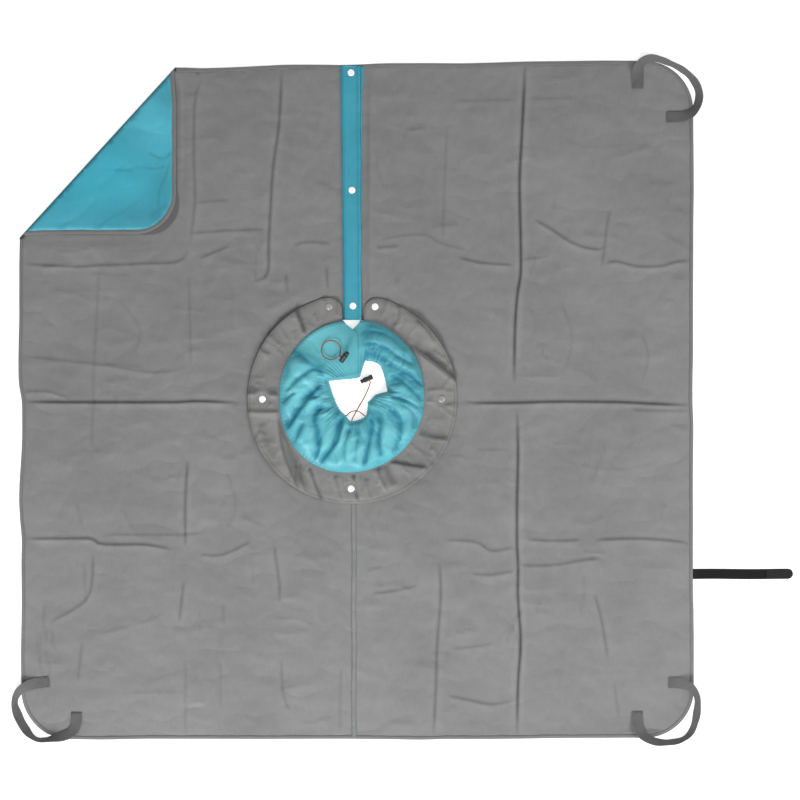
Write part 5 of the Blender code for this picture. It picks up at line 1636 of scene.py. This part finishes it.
# The mouth's edge: degrees round its middle and shares of the sleeve's radius
mouth_degrees = (
    -180, -167, -150, -118, -104, -86, -69, -54, -38, -22, -8, -2, 2, 5, 16, 34, 52, 66, 71, 76, 78, 79.5, 95, 115,
    129, 142, 151, 156, 161, 170, 180,
)
mouth_shares = (
    .345, .320, .322, .340, .393, .362, .336, .250, .190, .215, .240, .270, .325, .430, .424, .455, .515, .500,
    .480, .484, .360, .245, .223, .234, .263, .317, .385, .440, .405, .368, .345,
)
# Pleats: middle and half width in degrees where they leave the ring, height in millimetres
sleeve_pleats = (
    (-172, 7, 4.5), (-158, 6, 3.5), (-147, 7, 5.0), (-135, 5, 3.5), (-126, 6, 5.0), (-115, 5, 4.0), (-105, 6, 5.0),
    (-95, 5, 4.0), (-84, 7, 5.0), (-71, 5, 3.5), (-61, 6, 5.0), (-50, 5, 3.5), (-40, 6, 4.5), (-28, 7, 5.0),
    (-14, 6, 4.0), (-3, 6, 5.0), (9, 6, 4.5), (22, 7, 5.0), (36, 6, 3.5), (49, 7, 3.0), (64, 7, 2.4), (78, 6, 1.6),
    (99, 7, 1.5), (113, 8, 1.5), (128, 8, 2.0), (141, 7, 2.4), (152, 7, 3.2), (165, 7, 4.2), (177, 6, 4.5),
)


# Valleys between the folds of the gathered nylon, steep on one side
sleeve_valleys = Folds((
    (4.5, 4, 0.9, ((284, 348), (295, 352), (306, 359), (315, 366), (326, 376)), 10),
    (4.5, 14, 0.7, ((285, 393), (293, 384), (303, 375), (314, 369), (322, 372)), 4),
    (6.0, 17, 1.0, ((284, 431), (292, 420), (301, 407), (311, 394), (323, 382)), 4),
    (3.5, 9, 0.6, ((281, 404), (288, 397), (296, 392)), 4),
    (6.0, 17, 1.0, ((314, 462), (319, 446), (317, 430), (315, 417), (324, 402)), 5),
    (4.0, 12, 0.6, ((292, 446), (299, 432), (304, 420)), 4),
    (6.0, 16, 1.0, ((318, 465), (328, 452), (337, 440), (340, 426), (342, 416)), 5),
    (4.0, 11, 0.6, ((346, 462), (344, 450), (346, 438), (351, 426)), 5),
    (6.0, 6, 1.0, ((370, 414), (372, 426), (369, 440), (366, 454), (364, 468)), 15),
    (4.5, 5, 0.8, ((377, 412), (380, 424), (378, 440), (382, 458)), 11),
    (5.0, 5, 0.8, ((388, 406), (398, 416), (400, 430), (398, 444), (392, 455)), 13),
    (3.5, 5, 0.6, ((398, 402), (409, 408), (416, 418), (417, 430)), 9),
    (5.0, 5, 0.9, ((388, 396), (400, 398), (412, 403), (424, 411)), 9),
    (5.0, 4, 0.9, ((387, 374), (399, 378), (411, 388), (424, 402)), 13),
    (6.0, 4, 1.0, ((363, 350), (375, 354), (388, 362), (400, 369), (412, 375), (424, 388)), 15),
    (4.5, 4, 0.8, ((361, 345), (374, 343), (387, 348), (401, 358), (416, 366)), 12),
    (4.0, 4, 0.7, ((358, 335), (371, 331), (385, 334), (398, 343), (409, 354)), 11),
    (3.0, 4, 0.7, ((364, 364), (368, 352), (376, 346)), 6),
    (3.0, 8, 0.4, ((334, 420), (339, 410), (343, 404)), 4),
    (3.0, 8, 0.4, ((300, 398), (310, 398), (322, 395)), 4),
    (3.0, 8, 0.4, ((355, 462), (356, 448), (358, 436)), 4),
), pitch=0.005, core=0.0066, falloff=1.35, reach=2.8)


def sleeve_crumples(count=60):
    """Short creases that break up the folds."""
    chance = np.random.default_rng(17)
    strokes = []
    middle = np.array((353.0, 395.0))
    for _ in range(count):
        pixels = outward_line(chance, middle, (125, 430), 42, (34, 66), 1.8, (7, 19))
        rise, left, dark = chance.uniform(0.6, 1.8), chance.uniform(2.5, 6), chance.uniform(0.1, 0.5)
        strokes.append((rise, left, dark, pixels, chance.uniform(4, 9)))
    return strokes


sleeve_creases = Folds(sleeve_crumples(), pitch=0.005, core=0.0022, falloff=1.4, reach=2.6)


def facets(flat):
    """Shallow ridges and valleys that cross, as thin cloth crumples. They run mostly towards the stem."""
    chance = np.random.default_rng(29)
    away = flat - hole
    turn = np.arctan2(away[..., 1], away[..., 0])
    reach = np.hypot(away[..., 0], away[..., 1])
    total = np.zeros(np.shape(turn))
    for number in range(7):
        count = chance.integers(8, 22)
        slant = chance.uniform(-34, 34)
        bend = chance.uniform(0.3, 0.9) * np.sin(reach * chance.uniform(40, 90) + chance.uniform(0, 6) + turn * 2)
        phase = turn * count / 2 + reach * slant + bend + chance.uniform(0, math.pi)
        ridge = np.abs(np.sin(phase)) - 0.64
        total += (1 if number % 2 else -1) * ridge * 0.021 / count
    return total


def pleat_height(inward, degrees, flat):
    """Pleats that swirl towards the stem, steep on one side, and each place's painted shade and light, deepest in
    the valleys.
    """
    # Degrees at which each place's fold left the ring: the folds swirl and wander on their way in
    turn = np.radians(degrees)
    bend = 5.0 * np.sin(3 * turn + 4.0 * inward) + 3.5 * np.sin(7 * turn - 6.0 * inward + 1.0)
    out = degrees - 45 * np.cos(np.radians(degrees - 10)) * inward + bend * inward
    tallest = np.zeros(np.shape(out))
    for number, (middle, half, height) in enumerate(sleeve_pleats):
        steep_side = -1.0 if abs(middle) > 90 else 1.0
        off = turned_from(out, middle) * steep_side / (half * 1.12)
        ridge = np.where(off < -0.35, smooth((off + 1.0) / 0.65), smooth((1.0 - off) / 1.35))
        span = 0.55 + 0.45 * np.sin(2.4 * number + 5.2 * inward)
        tallest = np.maximum(tallest, height * mm * ridge * span)
    # Fine gathers by the hem, and puckers by the seam on the ring
    fine = 0.5 + 0.5 * np.sin(turn * 66 + 5 * inward + 1.3 * np.sin(turn * 11))
    fine = fine * (0.6 + 0.4 * np.sin(turn * 5 + 2.0))
    grown = mix(0.30, 1.0, smooth(inward / 0.45)) * (1 - 0.45 * smooth((inward - 0.80) / 0.2))
    gathers = 0.0013 * fine * smooth((inward - 0.45) / 0.5)
    seamed = 0.00035 * np.sin(turn * 118) * (1 - smooth((inward - 0.03) / 0.16)) * smooth(inward / 0.02)
    sunk, shaded = (part.reshape(np.shape(out)) for part in sleeve_valleys.at(flat.reshape(-1, 2)))
    cut, marked = (part.reshape(np.shape(out)) for part in sleeve_creases.at(flat.reshape(-1, 2)))
    by_hem = 1 - 0.5 * smooth((inward - 0.82) / 0.18)
    # The nylon puffs up where it is gathered, and no valley goes deeper than that
    off = np.abs(turned_from(degrees, smooth_middle))
    puffed = 0.0075 * smooth((off - 20) / 22) * smooth(inward / 0.16) * (1 - 0.5 * smooth((inward - 0.7) / 0.3))
    deep = np.minimum(sunk * 1.4, puffed * 1.05)
    both = puffed - deep + tallest * grown * 0.22 - cut * 0.8 * smooth(inward / 0.1) * by_hem
    pale = patch(flat, 322, 337, 0.044, 0.030)
    sunlit = patch(flat, 297, 388, 0.032, 0.040) + 0.7 * patch(flat, 345, 447, 0.075, 0.030)
    # How deep its colour is: painted shade in its valleys, creases and fine gathers, paler as painted light in two
    # lit places, and paler where it is smooth
    valley = 0.20 + shaded * 0.62 + marked * 0.5 + fine * 0.22 * smooth((inward - 0.5) / 0.5)
    valley = valley - 0.9 * pale - 0.42 * sunlit + 26.0 * (deep - 0.0040)
    crumple = facets(flat) * smooth((off - 16) / 16) * smooth(inward / 0.10) * by_hem
    # Painted shade in the crumples' low places, painted light on their high ones
    return both + crumple + gathers + seamed, valley - crumple * 90.0


def sleeve_surface(inward, angle, share):
    """World places of the sleeve's skin and their painted shade and light, deepest in the valleys."""
    inward, angle, share = np.broadcast_arrays(inward, angle, share)
    degrees = turned_from(np.degrees(angle), 0)
    way = np.stack((np.cos(angle), np.sin(angle)), axis=-1)
    mouth = np.interp(degrees, mouth_degrees, mouth_shares) * sleeve_radius
    outer = hole + way * np.interp(degrees, sleeve_degrees, sleeve_reaches)[..., None]
    inner = mouth_middle + way * mouth[..., None]
    flat = outer + (inner - outer) * inward[..., None]
    pleats, valley = pleat_height(inward, degrees, flat)
    quiet = 1 - smooth((np.abs(turned_from(degrees, smooth_middle)) - 20) / 16)
    pressed = 0.0026 * quiet * smooth(inward / 0.15) * (1 - smooth((inward - 0.85) / 0.15))
    height = sleeve_low + sleeve_rise * inward + sleeve_arch * np.sin(math.pi * np.clip(inward, 0, 1) ** 0.8)
    height = height + 0.0006 + pleats - pressed + overlap_rise(share)
    return np.concatenate((flat, height[..., None]), axis=-1), np.clip(valley, -0.7, 1)


def overlap_rise(share):
    """The sleeve's last tenth lies over its start."""
    return 0.0022 * smooth((share - 0.90) / 0.07)


def sleeve_ends(inward):
    """Angles at which the sleeve starts and ends: a notch by the slit, then an overlap."""
    notch_half, overlap_half = 5.76, -4.0
    half = mix(notch_half, overlap_half, smooth(inward / 0.28))
    return np.radians(90 - half), np.radians(90 + half - 360)


def add_sleeve():
    """The sleeve's skin, from its seam on the ring to the mouth, and the hem that is turned under there."""
    hem_round = 0.0022
    columns = np.linspace(0, 1, 560)
    rows = np.concatenate((
        (0.0, 0.012, 0.026, 0.042, 0.062), np.linspace(0.085, 0.90, 24), (0.925, 0.945, 0.962, 0.978, 0.990, 1.0),
    ))
    share, inward = np.meshgrid(columns, rows, indexing="ij")
    start, end = sleeve_ends(inward)
    angle = mix(start, end, share)
    skin, valley = sleeve_surface(inward, angle, share)
    skin[:, 0, 2] -= sleeve_skin
    puckers = 0.0010 * np.sin(angle[:, -1] * 66 + 5 + 1.3 * np.sin(angle[:, -1] * 11))
    way = skin[:, -1, :2] - skin[:, -6, :2]
    way /= np.linalg.norm(way, axis=1)[:, None]
    mouth, middle = skin[:, -1, :2].copy(), sleeve_low + sleeve_rise + overlap_rise(columns) - 0.0018
    reach = hem_round + puckers * 0.5
    hem = []
    for turn in np.radians((62, 34, 8, -20, -50, -82)):
        hem.append(level(mouth + way * (reach * math.cos(turn))[:, None], middle + hem_round * math.sin(turn)))
    for back in (0.0022, 0.0044, 0.0064):
        hem.append(level(mouth - way * back, middle - hem_round + back * 0.05))
    hem = np.stack(hem, axis=1)
    top = smooth((rows - 0.93) / 0.07)[None]
    roof = (middle + hem_round + puckers * 0.25)[:, None]
    skin[:, :, 2] = mix(skin[:, :, 2], np.minimum(skin[:, :, 2], roof + 0.0012 * (1 - top)), top)
    grid = np.concatenate((skin, hem), axis=1)
    count = hem.shape[1]
    depth = rows * 0.105
    depth = np.concatenate((depth, depth[-1] + 0.0014 * np.arange(1, count + 1)))
    lay = grid_lay(lengths_along(skin[:, 0, :2]), depth)
    # Painted shade that deepens round the turned-under hem
    hem_shade = np.broadcast_to(np.linspace(0.2, 0.7, count), (len(columns), count))
    crease = np.concatenate((valley, hem_shade), axis=1).ravel()
    faces = quads(*grid.shape[:2])
    sleeve = add_piece("collar_sleeve", grid.reshape(-1, 3), faces, "turquoise_nylon", "collar", lay, crease)
    face_up(sleeve)
    thickened(sleeve, sleeve_skin)
    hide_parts("collar_sleeve", "drawcord_hem_run")
    add_sleeve_stitches()


def add_sleeve_stitches():
    """Two rows that sew the sleeve on the ring, and one that closes its hem."""
    lines = []
    fine = np.linspace(0.0, 1.0, 700)
    for inward in (0.018, 0.040, 0.93):
        inward = np.full(len(fine), inward)
        start, end = sleeve_ends(inward)
        line, _ = sleeve_surface(inward, mix(start, end, fine), fine)
        lines.append(line + (0, 0, 0.0001))
    sewn = add_stitches("sleeve_stitches", lines, "teal_thread", "collar", 0.0036, 0.6, 0.00028)


# Drawcord and cord locks. The routes are the CAD's, in metres from the stem opening's middle at ground level.

tail_route = (
    (-0.0007, -0.0495, 0.0096), (0.0007, -0.0444, 0.0087), (0.0029, -0.0399, 0.0067), (0.0053, -0.0355, 0.0046),
    (0.0078, -0.0309, 0.0032), (0.0103, -0.0262, 0.0022), (0.0129, -0.0215, 0.0017), (0.0155, -0.0168, 0.0016),
    (0.0182, -0.0121, 0.0015), (0.0210, -0.0075, 0.0014), (0.0239, -0.0029, 0.0015), (0.0265, 0.0019, 0.0015),
    (0.0290, 0.0067, 0.0016), (0.0314, 0.0115, 0.0017), (0.0336, 0.0165, 0.0021), (0.0356, 0.0214, 0.0028),
    (0.0375, 0.0264, 0.0037), (0.0392, 0.0315, 0.0048), (0.0406, 0.0365, 0.0059), (0.0390, 0.0412, 0.0060),
    (0.0367, 0.0461, 0.0060),
)
arch_route = (
    (-0.0132, -0.0381, 0.0096), (-0.0092, -0.0341, 0.0094), (-0.0050, -0.0304, 0.0088), (-0.0001, -0.0276, 0.0082),
    (0.0054, -0.0263, 0.0079), (0.0110, -0.0266, 0.0078), (0.0164, -0.0284, 0.0081), (0.0212, -0.0314, 0.0087),
    (0.0253, -0.0352, 0.0093), (0.0298, -0.0385, 0.0096),
)
loop_route = (
    (-0.0195, 0.0899, 0.0351), (-0.0239, 0.0931, 0.0351), (-0.0273, 0.0958, 0.0350), (-0.0267, 0.1006, 0.0324),
    (-0.0258, 0.1053, 0.0298), (-0.0253, 0.1101, 0.0273), (-0.0258, 0.1152, 0.0255), (-0.0280, 0.1201, 0.0251),
    (-0.0314, 0.1243, 0.0248), (-0.0358, 0.1275, 0.0239), (-0.0407, 0.1297, 0.0229), (-0.0460, 0.1305, 0.0221),
    (-0.0514, 0.1299, 0.0214), (-0.0565, 0.1280, 0.0211), (-0.0609, 0.1249, 0.0211), (-0.0645, 0.1208, 0.0215),
    (-0.0668, 0.1159, 0.0221), (-0.0679, 0.1106, 0.0228), (-0.0676, 0.1052, 0.0234), (-0.0660, 0.1000, 0.0239),
    (-0.0631, 0.0954, 0.0242), (-0.0591, 0.0917, 0.0242), (-0.0543, 0.0891, 0.0240), (-0.0491, 0.0875, 0.0238),
    (-0.0437, 0.0875, 0.0237), (-0.0388, 0.0892, 0.0252), (-0.0346, 0.0917, 0.0276), (-0.0306, 0.0944, 0.0302),
    (-0.0265, 0.0969, 0.0328), (-0.0229, 0.0944, 0.0328), (-0.0185, 0.0911, 0.0328),
)


cord_locks = ("cord_lock_a", "cord_lock_b")


def add_cord(name, route, length, far_end, **with_pieces):
    """Braided cord that lies along its route."""
    path = np.array(route) + (*hole, 0.0)
    step, radius = 0.00055, 0.00122
    cord = add_tube(name, paced(smoothed(path, 8), step), radius, "brown_cord", "collar", sides=14, braid=0.055)
    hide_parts(name)


def add_lock_springs():
    """Each lock's coil, between its own end and the barrel's floor: a copy of the CAD's spring in spring steel that
    rides on the collar.
    """
    for lock in cord_locks:
        joint = next(joint for joint in frame["joints"] if joint["name"] == lock + "_press")
        push = np.array(joint["axis"])
        mesh = bpy.data.objects[lock + "_spring"].data.copy()
        mesh.materials.clear()
        mesh.materials.append(finishes["spring_steel"].material)
        coil = linked(lock + "_spring_visible", mesh)
        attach(coil, "collar")
        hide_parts(lock + "_spring")
        places = np.array([vertex.co[:] for vertex in mesh.vertices])
        reach = places @ push
        floor = places[reach.argmax()]
        keep = 1 - joint["range_m"][1] / (reach.max() - reach.min())
        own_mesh(coil)


def add_cords():
    """The free tail, the bridge over the hem's gap, and the loop that the second lock holds."""
    lock = ["cord_lock_a_barrel", "cord_lock_a_plunger", "cord_lock_a_spring_visible"]
    add_cord("drawcord_tail", tail_route, 0.1077, "fitting", with_pieces=lock)
    add_cord("drawcord_arch", arch_route, 0.0508, "object")
    add_cord("drawcord_loop", loop_route, 0.1613, "object")


def finish_locks():
    """Black plastic on the CAD's own barrels and buttons."""
    for lock in cord_locks:
        for part in ("barrel", "plunger"):
            piece = bpy.data.objects[lock + "_" + part]
            for slot in piece.material_slots:
                slot.material = finishes["black_plastic"].material


# Roll-up strap

strap_root = np.array((right_edge + hinge_gap, -0.3846))
strap_length, strap_half, hook_patch_length = 0.2236, 0.0115, 0.0600
# Where the strap's rows have points, from one side at -1 to the other at 1
strap_across = np.array((-1.0, -0.985, -0.93, -0.75, -0.4, 0.0, 0.4, 0.75, 0.93, 0.985, 1.0))


def strap_grid(stations, half, short=0.0, sway=0.0):
    """Level places of the strap or its patch, the grid of places along it, and its half width. Its tip is round."""
    past = np.clip(stations - (strap_length - strap_half), 0, half - short)
    width = np.sqrt(half ** 2 - past ** 2)
    x = np.broadcast_to(stations[:, None], (len(stations), len(strap_across)))
    y = strap_across[None] * width[:, None] + sway * np.sin(stations * 37.0)[:, None]
    return np.column_stack((strap_root[0] + x.ravel(), strap_root[1] + y.ravel())), x, width


def add_roll_strap():
    """Tape with a round tip, a patch of hooks on it, and its stitches."""
    tip = strap_length - strap_half + strap_half * np.sin(np.radians((12, 24, 36, 48, 58, 67, 75, 82, 87)))
    stations = np.concatenate(((0.0, 0.002), np.linspace(0.006, strap_length - strap_half, 60), tip))
    flat, x, width = strap_grid(stations, strap_half, sway=0.0004)
    rim = ((1 - np.abs(strap_across))[None] * width[:, None]).ravel()
    roll = 0.0003 * (1 - smooth(rim / 0.0008))
    ripple = 0.00010 * np.sin(x.ravel() * 90.0) * smooth(x.ravel() / 0.02)
    heights = (0.0001 + roll, 0.0012 + ripple - roll)
    strap = add_slab("roll_strap", flat, heights, x.shape, "black_tape", None, lay=flat - strap_root)
    face_up(strap, False)
    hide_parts("roll_strap")
    add_hook_patch(stations)
    sewn = add_strap_stitches()
    for piece in (strap, sewn):
        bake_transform(piece)


def add_hook_patch(stations):
    """The patch of hooks on the strap's last part, a little inside its edge."""
    inset, first = 0.0015, strap_length - hook_patch_length
    rows = stations[(stations > first - 0.0005) & (stations < strap_length - inset)]
    rows = np.concatenate(((first,), rows[1:]))
    flat, x, _ = strap_grid(rows, strap_half - inset, short=0.0004)
    hooks = add_slab("strap_hook_patch", flat, (0.0013, 0.0024), x.shape, "black_hook_tape", "roll_strap")
    face_up(hooks, False)
    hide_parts("strap_hook_patch")


def add_strap_stitches():
    """Two rows across the strap's root, and one along each side as far as the patch."""
    y = np.linspace(-0.0095, 0.0095, 14)
    rows = []
    for place in (0.006, 0.0088):
        rows.append(level(np.column_stack((np.full(len(y), strap_root[0] + place), strap_root[1] + y)), 0.00125))
    x = np.linspace(0.010, strap_length - 0.062, 120)
    for side in (-0.0092, 0.0092):
        rows.append(level(np.column_stack((strap_root[0] + x, np.full(len(x), strap_root[1] + side))), 0.00122))
    sewn = add_stitches("strap_stitches", rows, "black_thread", None, 0.0034)
    return sewn


# Floor and light

def add_floor():
    """Pale floor that is plain white to the camera and takes the mat's soft shadow."""
    reach, low = 6.0, -0.0005
    corners = [(-reach, -reach, low), (reach, -reach, low), (reach, reach, low), (-reach, reach, low)]
    mesh = bpy.data.meshes.new("floor")
    mesh.from_pydata(corners, [], [(0, 1, 2, 3)])
    paper = Finish("white_paper", (0.88, 0.88, 0.88), 0.9)
    grain = paper.node("ShaderNodeTexNoise", {}, {"Scale": 40.0}, "Fac")
    paper.set("Base Color", paper.node("ShaderNodeMapRange", {}, {"Value": grain, "To Min": 0.86, "To Max": 0.90}))
    enough_for_white = 0.62
    glow = paper.node("ShaderNodeEmission", {}, {"Strength": paper.seen() * enough_for_white})
    shaded = Field(paper, paper.shader.outputs[0])
    both = paper.node("ShaderNodeAddShader", {}, {0: shaded, 1: glow})
    paper.feed(paper.tree.nodes["Material Output"].inputs["Surface"], both)
    mesh.materials.append(paper.material)
    linked("floor", mesh)


def add_light():
    """White surroundings that light the mat dimly, a low window lamp and a fill from the right."""
    world = bpy.data.worlds.new("studio")
    bpy.context.scene.world = world
    world.use_nodes = True
    sky = Nodes(world.node_tree)
    background = sky.tree.nodes["Background"]
    sky.feed(background.inputs["Color"], (1, 1, 1))
    dim, full = 0.41, 1.0
    strength = sky.node("ShaderNodeMapRange", {}, {"Value": sky.seen(), "To Min": dim, "To Max": full})
    sky.feed(background.inputs["Strength"], strength)
    add_lamp("low_window", (-1.1, -3.3, 2.2), (-0.1, 0.0, 0.0), (1.3, 1.3), 128)
    add_lamp("right_fill", (2.6, -0.8, 2.0), (0.0, 0.0, 0.0), (1.8, 1.8), 48)


add_ring()
add_sleeve()
add_snaps("collar", collar_snaps, on_panel, "collar", darker_caps=(1, 5))
add_lock_springs()
add_cords()
finish_locks()
add_roll_strap()
add_floor()
add_light()
